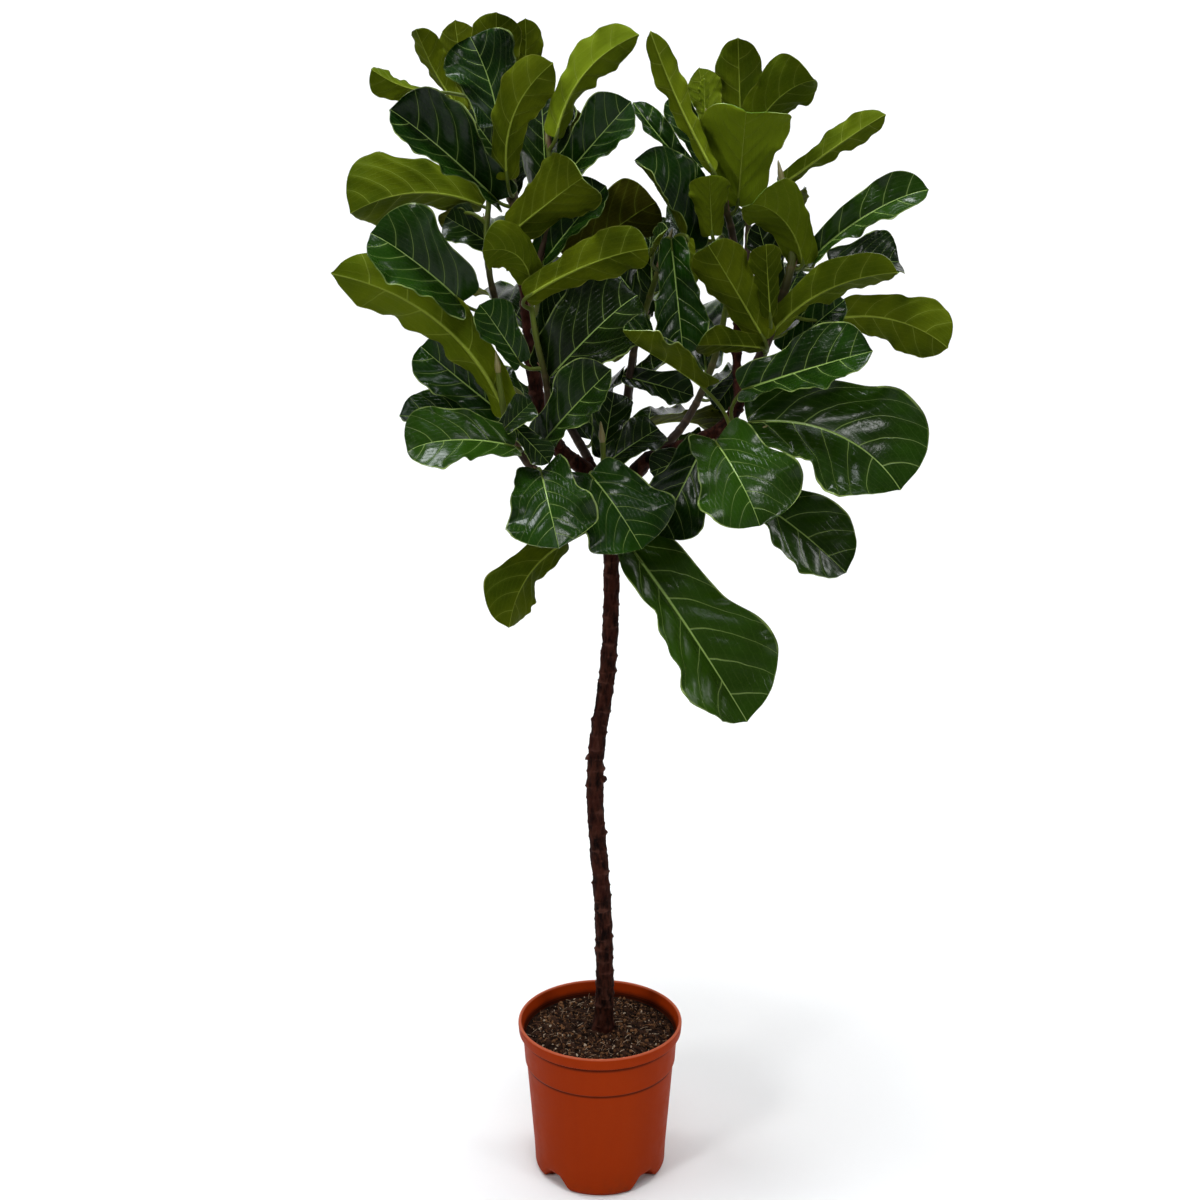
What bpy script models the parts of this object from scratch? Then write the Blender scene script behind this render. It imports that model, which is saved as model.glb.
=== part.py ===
"""Potted fiddle leaf fig: a standard tree with one bare stem, in a plain plastic nursery pot.

Metres, +Z up. The origin is on the floor under the middle of the pot, and -Y is the side
that faces the viewer. Places along the plant are written in centimetres and scaled by CM.
"""

import math
from collections import namedtuple

import bmesh
import bpy
import numpy as np
from mathutils.bvhtree import BVHTree

CM = 0.01
GAP = 0.0003

# Pot: a thin turned wall with a rolled rim, a stepped collar and four raised drain notches
POT_HEIGHT = 0.228
RIM_RADIUS = 0.120
RIM_DEPTH = 0.017
COLLAR_TOP_RADIUS = 0.1131
COLLAR_FOOT_RADIUS = 0.1103
COLLAR_FOOT = 0.166
WALL_TOP_RADIUS = 0.1080
WALL_FOOT_RADIUS = 0.0962
FOOT_RADIUS = 0.0920
WALL = 0.0022
POT_SIDES = 36
NOTCHES = 4
NOTCH_HEIGHT = 0.017
NOTCH_DEPTH = 0.030
NOTCH_FLAT = math.radians(5)
NOTCH_FLANK = math.radians(13)
NOTCH_STEP = 0.003
CORNER_HEIGHT = 0.006
WALL_FOOT_SWELL = 0.0014
WALL_FOOT_TOP = 0.035
STEP_HALF_HEIGHT = 0.001
RIM_LIP = 0.0024
RIM_ROUND = 0.0008
RIM_FLARE = 0.0012
DRAIN_HOLE_RADIUS = 0.005
DRAIN_HOLE_SIDES = 8
DRAIN_REACH = 0.074

# Potting mix and the hole that the stem stands in
SOIL_BELOW_RIM = 0.022
SOIL_MOUND = 0.006
SOIL_LUMP = 0.005
SOIL_RADII = (0.085, 0.06, 0.038)
STEM_FOOT_RADIUS = 0.0175
STEM_SIDES = 10
BRANCH_SIDES = 6
PETIOLE_SIDES = 3
BRANCH_STEP = 0.04
# How much wider a branch is at its root than at its leafy part, for each bare centimetre
BRANCH_TAPER = 0.012
LONGEST_TAPER = 30

# Leaf blades and their stalks; CLEARANCE is kept free on each side of a blade
BLADE = 0.0014
CLEARANCE = 0.0014
PETIOLE_RADIUS = 0.0024
PETIOLE_TAPER = (1.25, 1.0, 1.0, 0.4)
# A stalk leaves its stem this far above the bare wood and at most this far below its blade
PETIOLE_START = 0.008
PETIOLE_DROP = 0.018
# It enters the blade this deep under the foot and ends this deep under the midrib
FOOT_DEPTH = 0.0016
MIDRIB_DEPTH = 0.0006
BUD_LENGTH = 0.028
BUD_RADIUS = 0.0035
BUD_POINT = 0.0008
LENGTH_STATIONS = (0.0, 0.07, 0.36, 0.66, 0.90, 1.0)
WIDTH_STATIONS = (-1.0, -0.5, 0.0, 0.5, 1.0)
# Inner and hidden leaves, and leaves narrower than this in centimetres, have fewer stations
PLAIN_WIDTH = 5.7
PLAIN_LENGTHS = (0.0, 0.08, 0.50, 0.80, 1.0)
PLAIN_WIDTHS = (-1.0, 0.0, 1.0)

# Edges sharper than this stay sharp in the shading
SHARP = math.radians(40)

# Colours
POT_COLOUR = (0.27, 0.045, 0.012)
SOIL_COLOUR = (0.022, 0.012, 0.008)
BARK_COLOUR = (0.028, 0.012, 0.009)
SHOOT_COLOUR = (0.035, 0.085, 0.016)

# The bare stem: centre line and radius, from its foot in the soil to where the crown forks
TRUNK = (
    ((0.4, 0.0, 10.5), 1.75),
    ((0.4, 0.0, 20.5), 1.75),
    ((0.5, 0.0, 21.6), 1.60),
    ((0.6, 0.0, 23.5), 1.36),
    ((0.7, 0.0, 29.0), 1.28),
    ((0.6, 0.0, 34.0), 1.24),
    ((0.3, 0.0, 42.0), 1.22),
    ((-0.4, 0.2, 51.0), 1.20),
    ((-0.7, 0.2, 58.0), 1.18),
    ((-0.4, 0.1, 64.5), 1.14),
    ((0.8, 0.0, 73.0), 1.12),
    ((1.4, 0.0, 80.0), 1.10),
    ((1.55, 0.0, 90.0), 1.06),
    ((1.5, 0.0, 97.0), 1.10),
    ((1.3, 0.0, 101.0), 0.95),
)
# Height and girth of the raised leaf scars that ring the stem, in centimetres
SCAR_SPACING = 4.4
SCAR_HEIGHT = 0.10
# Short dead stubs: place on the stem, free end
STUB_RADII = (0.006, 0.0045)
STUBS = (
    ((-0.7, 0.2, 62.0), (-1.7, 0.0, 62.9)),
    ((-0.5, 0.2, 59.0), (0.7, -0.9, 59.8)),
    ((1.4, 0.0, 82.5), (2.4, 0.4, 83.3)),
)

# Branches: the whole centre line from the parent wood to the tip, and how much of it is bare
Branch = namedtuple("Branch", "bare thick path")
BRANCHES = {
    "shoot_left_top": Branch(35.5, 0.85, (
        (1.5, 0, 97), (-1.4, 0, 102.6), (-5.4, 0, 105.9), (-7.9, 0, 111.2), (-9.2, 0, 119.2),
        (-9.8, 0, 127), (-11, 0, 136), (-11.9, 0, 144.7), (-12.4, 0, 151))),
    "shoot_left_inner": Branch(3.3, 0.45, (
        (-9.6, 0, 125), (-8.6, -1.5, 128.5), (-6.8, -2.5, 135), (-6.3, -3, 141), (-6.6, -3, 145))),
    "shoot_left_mid": Branch(3.1, 0.50, (
        (-8.9, 0, 117), (-11.5, -2, 120.5), (-14, -2.5, 127), (-14.8, -1, 134), (-14.4, 0, 139))),
    "shoot_left_low": Branch(9.0, 0.60, (
        (-0.8, 0, 102), (-4.5, -3, 101.8), (-8.8, -6, 104), (-11.9, -7.5, 109.7),
        (-12.8, -8, 114.5), (-13, -8, 116.4))),
    "shoot_front_centre": Branch(3.0, 0.50, (
        (-5.4, 0, 105.9), (-6.5, -3, 109), (-7, -5, 115), (-8.3, -5.3, 121), (-9, -5, 126))),
    "shoot_centre": Branch(14.0, 0.55, (
        (1.5, 0, 98), (3, 0.5, 106), (3.7, 1.5, 113), (4.5, 0, 119), (6.5, -2, 126), (8.5, -3, 132))),
    "shoot_right_main": Branch(27.5, 0.80, (
        (1.5, 0, 97), (5.8, -1.5, 104.2), (13.3, -3, 107.5), (16.6, -3, 109.4), (18.5, -3, 112.7),
        (21.1, -3, 118.4), (22.8, -3, 123.3), (25, -2, 131.2), (24.5, 0, 137), (23.8, 1, 141))),
    "shoot_right_top": Branch(16.2, 0.55, (
        (18.4, -3, 112.4), (18.2, -1, 116.5), (18.3, 0, 121.8), (18, 0, 129), (17.2, -0.5, 134.6),
        (14.6, -1, 142), (13.9, -1, 147))),
    "shoot_right_tall": Branch(3.4, 0.45, (
        (18.1, 0, 124.5), (19.1, 1.5, 127.5), (19.7, 3, 132), (19.8, 4, 137), (19.3, 5, 143),
        (19.5, 5, 148))),
    "shoot_right_low": Branch(2.4, 0.50, (
        (12.6, -3, 107.2), (14.8, -5, 106.3), (17.3, -6.5, 106.6), (19.5, -7.5, 108.2))),
    "shoot_skirt": Branch(2.2, 0.50, (
        (1.5, 0, 95.5), (1.7, -2.6, 96.6), (1.5, -5, 100), (0.6, -6.3, 104), (0.3, -7, 107.5))),
    "shoot_back_left": Branch(10.0, 0.65, (
        (1.5, 0, 96), (-1, 4, 103), (-5, 9, 110), (-8, 12, 118), (-9, 13, 127), (-9, 13, 134))),
    "shoot_back_centre": Branch(9.0, 0.60, (
        (1.5, 0, 98), (2.5, 5, 105), (4, 10, 112), (5, 13, 120), (5.5, 14, 128), (5.5, 14, 131))),
    "shoot_back_right": Branch(10.0, 0.65, (
        (1.5, 0, 96.5), (6, 4, 103), (12, 9, 109), (16, 12, 117), (18, 13, 126), (18.5, 13, 133))),
}

# Leaves: foot of the blade and its tip in centimetres, the way its upper side faces, width in
# centimetres, then degrees: arch along the midrib (+ bows to the upper side), fold along the
# midrib, curl of the edges, hook of the tip (+ down), twist; sway of the midrib as a share of
# the length, and the edge wave as a share of the width.
Leaf = namedtuple("Leaf", "foot tip face width arch fold curl hook twist sway wave")
LEAVES = {
    "shoot_left_top": (
        Leaf((-21, 4, 152.4), (-29.4, 0, 154.6), (-1, 8, -2), 5.0, 20, 35, 20, 0, 0, 0.07, 0.04),
        Leaf((-18.4, 6, 150.3), (-23.9, 3, 160.1), (4, 9, 2), 5.0, 20, 30, 20, 20, 0, 0.08, 0.04),
        Leaf((-17, 7, 150.5), (-19.3, 8, 162.3), (1, 9, 2), 6.4, 20, 10, 20, 0, 0, 0.03, 0.04),
        Leaf((-13.4, -1, 138.3), (-25.8, -9, 148.3), (-3, -8, 5), 12.6, 20, 38, 20, 10, 0, 0, 0.05),
        Leaf((-13, -2, 147.5), (-16.5, -1, 158.3), (-1, -9, 2), 11, -20, 20, 20, 20, 0, 0.05, 0.06),
        Leaf((-13.8, 4, 150), (-13.2, 0, 161.5), (0, 9, 3), 7, 20, 10, 20, 0, 0, 0, 0.05),
        Leaf((-11.1, 5, 150.2), (-9.7, 3, 161.4), (-1, 9, 2), 5, 20, 15, 20, 0, 0, -0.05, 0.04),
        Leaf((-11.8, -4, 140.5), (-5.7, -9, 153.7), (-1, 9, 2), 6.8, 15, 15, 20, 0, 0, 0.14, 0.05),
        Leaf((-11, -4, 134.3), (-2.1, -12, 139.9), (2, 8, 4), 9.5, 20, 15, 20, 20, 0, 0, 0.05),
    ),
    "shoot_left_inner": (
        Leaf((-5.6, -4, 145.7), (4.9, -3, 158.2), (-3, 9, 2), 6.5, 15, 22, 25, 0, 0, 0.13, 0.05),
        Leaf((-4.6, -3, 140.9), (3.9, -6, 149.7), (-1, -9, 2), 8.3, 10, 28, 10, 0, 0, 0, 0.04),
        Leaf((-7.2, -2, 130.7), (0.4, -4, 140.1), (-3, -8, 4), 9, 10, 30, 10, 0, 0, 0, 0.03),
        Leaf((-3.7, -1, 130.5), (7.2, -3, 137.9), (-2, 8, 3), 9.5, 20, 10, 20, 20, 0, 0, 0.05),
    ),
    "shoot_left_mid": (
        Leaf((-17.6, -7, 125.2), (-28, -13, 133.3), (-2, -8, 5), 12.2, 30, 22, 15, 20, 0, 0, 0.05),
        Leaf((-15.5, 1, 137.8), (-32, -4, 136.4), (-1, 8, 4), 11.6, 25, 30, 20, 0, 0, -0.11, 0.05),
    ),
    "shoot_left_low": (
        Leaf((-11.9, -7, 110.6), (-33.5, -7, 129.2), (3, 9, 1), 9, 20, 15, 20, 0, 0, -0.13, 0.06),
        Leaf((-12.1, -4, 110.4), (-23.5, -3, 119.7), (-4, -8, 3), 8, 20, 20, 20, 20, 0, 0, 0.05),
        Leaf((-12.7, -2, 108.4), (-26.4, -4, 110.7), (-1, -6, 8), 8.4, 20, 25, 10, 0, 0, 0, 0.05),
        Leaf((-11, -10.5, 107.2), (-23.8, -16, 106.9), (-1, -8, 5), 9.2, 34, 15, 10, 40, 0, 0.03, 0.05),
        Leaf((-7.6, -9, 103.8), (-5.1, -17, 95.1), (0, -9, 3), 12.6, 40, 12, 20, 0, 0, 0, 0.08),
    ),
    "shoot_front_centre": (
        Leaf((-6.5, -4, 115.7), (4.8, -8, 125.7), (-4, -8, 2), 15, 20, 15, 15, 20, 0, 0, 0.05),
        Leaf((-7.8, -6, 106.9), (1.4, -12, 116.9), (-4, -8, 3), 9, 15, 18, 15, 0, 0, 0, 0.04),
        Leaf((-9.5, -7.5, 125.7), (5.8, -16, 131.3), (-2, 9, 2), 7, 30, 15, 20, 10, 0, 0.03, 0.06),
        Leaf((-8.8, -6, 127.8), (-14.6, -11, 131.3), (1, 9, 1), 7, 15, 10, 15, 0, 0, -0.22, 0.04),
        Leaf((-10.3, -6, 117.6), (-15.3, -8, 124.9), (3, -8, 3), 6.5, 10, 15, 10, 20, 0, 0, 0.03),
    ),
    "shoot_centre": (
        Leaf((9, -6, 133), (10.7, -7, 118.4), (0, -9, 2), 8, 15, 28, 10, 0, 0, 0, 0.04),
        Leaf((6.6, -6, 131), (8.7, -10, 134), (-4, -6, 6), 3.5, 10, 30, 10, 0, 0, 0, 0.02),
        Leaf((11.2, -6, 133.2), (10.6, -8.5, 127.5), (4, 7, 0), 2.6, 10, 30, 10, 0, 0, 0, 0.02),
    ),
    "shoot_right_main": (
        Leaf((26.4, -2, 130.2), (18.9, -9, 137.1), (0, 8, 5), 8.4, 30, 15, 20, 20, 0, -0.12, 0.05),
        Leaf((23.7, 2, 140.3), (36.9, 0, 149.1), (-3, 8, 3), 4.8, 10, 25, 20, 10, 20, 0.0, 0.05),
        Leaf((27.4, 0, 130.4), (41.5, -6, 139.1), (-2, -8, 4), 6.8, 30, 20, 20, 20, 0, -0.04, 0.05),
        Leaf((31.1, 3, 130), (40.7, 6, 130.9), (0, -7, 5), 9, 20, 20, 20, 0, 0, 0, 0.04),
        Leaf((21.7, -3, 120.5), (36.9, -11, 128.8), (-3, 8, 4), 7, 25, 15, 20, 0, 0, 0.10, 0.06),
        Leaf((31.4, 2, 123.2), (46.9, 2, 119.4), (0, 9, 2), 8.6, 40, 12, 20, 20, 0, 0.10, 0.08),
        Leaf((24.9, 2, 118.9), (32.4, 0, 125.7), (-5, -7, 3), 8, 10, 20, 10, 0, 0, 0, 0.04),
        Leaf((21.2, -6, 120.5), (12.5, -11, 131.4), (-1, 8, 4), 7.5, 25, 15, 20, 20, 0, 0, 0.05),
        Leaf((21.8, -6.5, 123.3), (20.6, -10, 132.2), (0, 9, 1), 5, 10, 25, 20, 0, 0, 0, 0.03),
        Leaf((21.4, -5, 119.5), (12.3, -10, 119.9), (1, 8, 5), 5, 15, 15, 15, 0, 0, 0, 0.04),
        Leaf((23.4, 0, 125.7), (20.6, 0, 135.7), (1, -9, 3), 5.5, 10, 20, 15, 0, 0, 0, 0.04),
    ),
    "shoot_right_top": (
        Leaf((11.5, -1, 132), (3.8, -4, 142.7), (6, -7, 3), 10.4, 30, 30, 30, 20, 0, 0, 0.05),
        Leaf((13.4, 0, 140.4), (4.3, 2, 150.9), (3, -8, 3), 4.2, 10, 30, 10, 0, 0, -0.04, 0.03),
        Leaf((14.4, -5.5, 141.3), (6.2, -6, 158), (2, 9, 1), 4.0, 20, 20, 20, 0, 0, 0.03, 0.04),
        Leaf((14.6, 2, 147.4), (13, 5, 155.7), (2, 9, 1), 5.4, 10, 20, 20, 0, 0, 0, 0.03),
        Leaf((13.5, -1, 148.4), (13.3, -1, 153.3), (0, 9, 1), 2, 5, 40, 20, 0, 0, 0, 0.02),
        Leaf((17.9, -1, 137.7), (17.3, -9, 147.7), (1, 8, 4), 12.4, 35, 10, 25, 20, 0, 0, 0.06),
        Leaf((14.4, -4, 133.7), (13.7, -5, 141.2), (0, 9, 1), 6, 10, 20, 20, 0, 0, 0, 0.04),
    ),
    "shoot_right_tall": (
        Leaf((19, 5, 142.5), (17.8, 2, 158.9), (1, 9, 1), 7, 20, 12, 25, 20, 0, 0, 0.05),
        Leaf((19.5, 3, 145.1), (27.2, -3, 152.8), (-2, 8, 3), 8.4, 30, 12, 20, 20, 0, 0.12, 0.07),
    ),
    "shoot_right_low": (
        Leaf((19.3, -6, 109.9), (37.3, -16, 102.2), (-1, -8, 4), 17, 20, 15, 15, 20, 0, -0.13, 0.06),
        Leaf((14.8, -9.5, 107.7), (19.7, -18, 98), (0, -8, 5), 15, 40, 22, 10, 20, 0, 0, 0.05),
        Leaf((15.4, -4.5, 102.6), (32.4, -8, 90.4), (3, -8, 4), 12, 20, 15, 15, 0, 0, -0.02, 0.05),
        Leaf((18.4, -6.5, 114.1), (33.2, -16, 119.2), (-2, -8, 5), 10, 10, 22, 10, 0, 0, 0, 0.05),
        Leaf((13.4, -8.5, 114.5), (1.7, -16, 120), (1, -3, 9), 9.6, 10, 30, 20, -30, 0, 0, 0.05),
        Leaf((13.6, -6, 107.2), (9.4, -7, 94.5), (0, -8, 2), 10, 20, 15, 15, 0, 0, 0, 0.04),
    ),
    "shoot_skirt": (
        Leaf((4.1, -5, 93.3), (19, -15, 72.1), (5, -8, 1), 17.4, 20, 26, 10, 0, 0, 0.01, 0.04),
        Leaf((-1.3, -8, 103.4), (5.3, -14, 94.5), (1, -8, 4), 13.4, 40, 10, 20, 0, 0, 0, 0.06),
        Leaf((-4.4, -3, 93.9), (-12.1, -8, 83), (-3, 8, 2), 9, 20, 18, 20, 0, 0, -0.12, 0.08),
    ),
}

# Leaves inside the crown, of which only parts show between the ones above
INNER_LEAVES = {
    "shoot_left_inner": (
        Leaf((-7, -1, 140.3), (-7.6, 2, 151.4), (0, -9, 2), 9.6, 15, 15, 15, 0, 0, 0, 0.05),
    ),
    "shoot_left_top": (
        Leaf((-12.2, 1, 142.8), (-17.2, 3, 149.8), (-2, -9, 2), 7, 15, 15, 15, 0, 0, 0, 0.05),
        Leaf((-12.1, 1, 138.8), (-10.5, 4, 144.9), (0, -9, 2), 5, 15, 15, 15, 0, 0, 0, 0.05),
    ),
    "shoot_left_mid": (
        Leaf((-14.7, 1, 133.1), (-19.7, 2, 137.1), (-2, -9, 3), 6, 15, 15, 15, 0, 0, 0, 0.05),
    ),
    "shoot_front_centre": (
        Leaf((-7.7, -3, 120.7), (-3.5, -1, 127.8), (0, -9, 2), 6.4, 15, 15, 15, 0, 0, 0, 0.05),
    ),
    "shoot_centre": (
        Leaf((6.9, 0, 126.7), (6.6, 2, 138), (0, -9, 1), 6.6, 15, 15, 15, 0, 0, 0, 0.05),
        Leaf((6.4, 0, 123.7), (0.5, 3, 130.5), (0, -9, 1), 6, 15, 15, 15, 0, 0, 0, 0.05),
        Leaf((3.2, 1, 115.7), (12.6, 0, 113.1), (1, -8, 3), 5.0, 15, 15, 15, 0, 0, 0, 0.05),
    ),
    "shoot_right_top": (
        Leaf((13.9, 1, 142.8), (9.2, 3, 151.7), (0, -9, 1), 4.4, 15, 15, 15, 0, 0, 0, 0.05),
    ),
    "shoot_right_tall": (
        Leaf((18.1, 3, 130.5), (19.4, 6, 138.2), (0, -9, 2), 4, 15, 15, 15, 0, 0, 0, 0.05),
    ),
    "shoot_right_main": (
        Leaf((24.2, 1, 124.9), (27.7, 3, 130.7), (1, -9, 1), 5, 15, 15, 15, 0, 0, 0, 0.05),
        Leaf((19.2, 0, 116.8), (15.6, 2, 111.4), (0, -8, 2), 3.8, 15, 15, 15, 0, 0, 0, 0.05),
    ),
    "shoot_skirt": (
        Leaf((1, -6, 104.8), (7.6, -1, 109.4), (0, -8, 5), 6.4, 15, 15, 15, 0, 0, 0, 0.05),
        Leaf((0.3, -5, 105.2), (1.9, 0, 113.6), (0, -9, 2), 6, 15, 15, 15, 0, 0, 0, 0.05),
    ),
    "shoot_left_low": (
        Leaf((-12.1, -10.5, 109.5), (-8.6, -10, 112.8), (0, -8, 3), 4.4, 15, 15, 15, 0, 0, 0, 0.05),
        Leaf((-10.8, -9, 109.4), (-6.5, -10, 105), (1, -8, 3), 4.0, 15, 15, 15, 0, 0, 0, 0.05),
    ),
    "shoot_right_low": (
        Leaf((13.2, -5, 105.6), (6.6, -5, 103.4), (0, -8, 4), 5, 15, 15, 15, 0, 0, 0, 0.05),
    ),
}

# Leaves that the front of the crown hides: how many each stem carries besides those in the
# tables, set round it by the golden angle and kept inside two domes, each a centre and the two
# half widths of its ellipse across the front of the crown
HIDDEN_LEAVES = {
    "shoot_back_left": 8,
    "shoot_back_centre": 7,
    "shoot_back_right": 8,
    "shoot_left_top": 3,
    "shoot_left_mid": 2,
    "shoot_left_low": 1,
    "shoot_centre": 3,
    "shoot_right_main": 3,
    "shoot_right_top": 2,
}
HIDDEN_DOMES = (((-9.5, 126.0), (13.0, 21.0)), ((17.0, 124.0), (15.0, 18.0)))
GOLDEN_ANGLE = 137.5
FIRST_ANGLE = 40.0
HIDDEN_LENGTHS = (19.0, 14.0)
HIDDEN_RISES = (-0.25, 0.85)
HIDDEN_STALK = 3.5
HIDDEN_WIDTH = 0.56

# How far a leaf may be swung to clear its neighbours, in degrees: across and along its face
SWINGS = [(0, 0)] + [
    (turn * reach, lift * reach)
    for reach in (4, 8, 13, 19, 26)
    for turn, lift in ((0, 1), (0, -1), (1, 0), (-1, 0), (0.7, 0.7), (-0.7, 0.7), (0.7, -0.7), (-0.7, -0.7))
]


def unit(vectors):
    """Vectors of an array, scaled to length one along the last axis."""
    vectors = np.asarray(vectors, float)
    return vectors / np.linalg.norm(vectors, axis=-1, keepdims=True)


def through(x, stations, values):
    """Smooth curve through (station, value) pairs: a cubic with its slope from the two neighbours."""
    stations = np.asarray(stations, float)
    values = np.asarray(values, float)
    slopes = np.gradient(values, stations, axis=0)
    x = np.asarray(x, float)
    i = np.clip(np.searchsorted(stations, x) - 1, 0, len(stations) - 2)
    step = stations[i + 1] - stations[i]
    t = (x - stations[i]) / step
    if values.ndim > 1:
        step, t = step[..., None], t[..., None]
    return (
        (2 * t**3 - 3 * t**2 + 1) * values[i]
        + (t**3 - 2 * t**2 + t) * step * slopes[i]
        + (3 * t**2 - 2 * t**3) * values[i + 1]
        + (t**3 - t**2) * step * slopes[i + 1]
    )


# Half width of a fiddle-shaped blade, and how far its edge runs ahead of its midrib, by length
OUTLINE = (
    (0.0, 0.05, 0.13, 0.28, 0.50, 0.68, 0.80, 0.88, 0.94, 0.97, 0.985, 1.0),
    (0.0, 0.42, 0.58, 0.66, 0.86, 1.00, 0.96, 0.80, 0.54, 0.31, 0.12, 0.0),
)
SWEEP = ((0.0, 0.08, 0.25, 0.60, 0.90, 1.0), (-0.70, -0.40, 0.05, 0.12, 0.0, 0.0))


def blade_points(leaf, u, v):
    """Blade grid: points and upper-side normals for u from foot to tip and v from edge to edge.

    The midrib turns evenly by the arch, and by the hook near its tip, and is then fitted from
    foot to tip. Each half of a cross-section is an arc that leaves the midrib at the fold angle
    and turns by the curl.
    """
    foot = np.array(leaf.foot) * CM
    chord = np.array(leaf.tip) * CM - foot
    length = np.linalg.norm(chord)
    along = chord / length
    up = np.array(leaf.face, float)
    up = unit(up - up.dot(along) * along)
    side = np.cross(along, up)

    t = np.linspace(0, 1, 97)
    angle = math.radians(leaf.arch) * (0.5 - t)
    angle = angle - math.radians(leaf.hook) * np.clip((t - 0.65) / 0.35, 0, 1) ** 2
    steps = np.stack([np.cos(angle), np.sin(angle)], axis=1) / (len(t) - 1)
    path = np.concatenate([[[0, 0]], np.cumsum((steps[1:] + steps[:-1]) / 2, axis=0)])
    tilt = math.atan2(path[-1, 1], path[-1, 0])
    scale = length / np.hypot(*path[-1])
    c, s = math.cos(tilt), math.sin(tilt)
    ahead = scale * (path[:, 0] * c + path[:, 1] * s)
    rise = scale * (path[:, 1] * c - path[:, 0] * s)
    bow = leaf.sway * length * 4 * t * (1 - t)
    midrib = foot + ahead[:, None] * along + rise[:, None] * up + bow[:, None] * side
    tangent = unit(np.gradient(midrib, t, axis=0))
    facing = -np.sin(angle - tilt)[:, None] * along + np.cos(angle - tilt)[:, None] * up
    across = unit(np.cross(tangent, facing))
    facing = np.cross(across, tangent)

    def at(rows):
        return np.stack([np.interp(u, t, column) for column in rows.T], axis=1)[:, None, :]

    centre, tangent, facing, across = at(midrib), unit(at(tangent)), unit(at(facing)), unit(at(across))
    turn = (math.radians(leaf.twist) * u)[:, None, None]
    across, facing = (
        across * np.cos(turn) + facing * np.sin(turn),
        facing * np.cos(turn) - across * np.sin(turn),
    )
    half = (leaf.width * CM / 2 * through(u, *OUTLINE))[:, None]
    fold = (math.radians(leaf.fold) * (1.2 - 0.4 * u))[:, None]
    curl = math.radians(leaf.curl) + 1e-3
    away = np.abs(v)[None, :]
    soft = np.sqrt(away**2 + 0.0016) - 0.04
    out = half * (np.sin(fold + curl * away) - np.sin(fold)) / curl
    lift = half * (np.cos(fold) - np.cos(fold + curl * soft)) / curl
    hand = np.sign(v)[None, :]
    ripple = np.sin(2 * math.pi * (2.2 * u[:, None] + 0.21 * hand) + leaf.tip[0])
    lift = lift + leaf.wave * leaf.width * CM * away**2 * ripple * np.sqrt(half / half.max())
    ahead = half * away**1.4 * through(u, *SWEEP)[:, None]
    points = (
        centre
        + (hand * out)[..., None] * across
        + lift[..., None] * facing
        + ahead[..., None] * tangent
    )
    slope = (fold + curl * away) * np.minimum(1, away / 0.1)
    normals = np.cos(slope)[..., None] * facing - (hand * np.sin(slope))[..., None] * across
    return points, normals


def grid_solid(top, bottom):
    """Closed mesh between two like grids whose first and last rows are one point each."""
    rows, columns = top.shape[:2]
    middle = columns // 2
    sheet = [top[0, middle]] + [p for row in top[1:-1] for p in row] + [top[-1, middle]]
    under = [bottom[0, middle]] + [p for row in bottom[1:-1] for p in row] + [bottom[-1, middle]]
    count = len(sheet)

    def index(row, column):
        if row == 0:
            return 0
        if row == rows - 1:
            return count - 1
        return 1 + (row - 1) * columns + column

    faces = []
    for row in range(rows - 1):
        for column in range(columns - 1):
            a, b = index(row, column), index(row, column + 1)
            c, d = index(row + 1, column + 1), index(row + 1, column)
            halves = ((a, b, c), (a, c, d)) if column < middle else ((a, b, d), (b, c, d))
            faces += [half for half in halves if len(set(half)) == 3]
    solid = faces + [(count + c, count + b, count + a) for a, b, c in faces]
    rim = [index(row, 0) for row in range(rows)]
    rim += [index(row, columns - 1) for row in range(rows - 2, 0, -1)]
    for a, b in zip(rim, rim[1:] + rim[:1]):
        solid += [(a, b, count + b), (a, count + b, count + a)]
    return np.array(sheet + under), solid


def tube(points, radii, sides, headings=None):
    """Closed tube along points, with flat ends, its sections kept from turning about the path."""
    points = np.asarray(points, float)
    radii = np.broadcast_to(radii, len(points))
    tangents = unit(np.gradient(points, axis=0) if headings is None else headings)
    first = np.cross(tangents[0], (0.0, 1.0, 0.0))
    if np.linalg.norm(first) < 0.2:
        first = np.cross(tangents[0], (1.0, 0.0, 0.0))
    ring = unit(first)
    angles = np.arange(sides) * 2 * math.pi / sides
    vertices = []
    for point, tangent, radius in zip(points, tangents, radii):
        ring = unit(ring - ring.dot(tangent) * tangent)
        other = np.cross(tangent, ring)
        vertices += [point + radius * (math.cos(a) * ring + math.sin(a) * other) for a in angles]
    faces = []
    for row in range(len(points) - 1):
        for side in range(sides):
            a, b = row * sides + side, row * sides + (side + 1) % sides
            faces.append((a, b, b + sides, a + sides))
    faces.append(tuple(range(sides))[::-1])
    last = (len(points) - 1) * sides
    faces.append(tuple(range(last, last + sides)))
    return np.array(vertices), faces


def material(name, colour, roughness):
    made = bpy.data.materials.new(name)
    made.use_nodes = True
    shader = made.node_tree.nodes["Principled BSDF"]
    shader.inputs["Base Color"].default_value = (*colour, 1)
    shader.inputs["Roughness"].default_value = roughness
    shader.inputs["Metallic"].default_value = 0.0
    made.diffuse_color = (*colour, 1)
    return made


def mesh_object(name, vertices, faces, finish=None):
    mesh = bpy.data.meshes.new(name)
    mesh.from_pydata([tuple(v) for v in vertices], [], faces)
    mesh.shade_smooth()
    mesh.set_sharp_from_angle(angle=SHARP)
    if finish:
        mesh.materials.append(finish)
    made = bpy.data.objects.new(name, mesh)
    bpy.context.scene.collection.objects.link(made)
    return made


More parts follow.
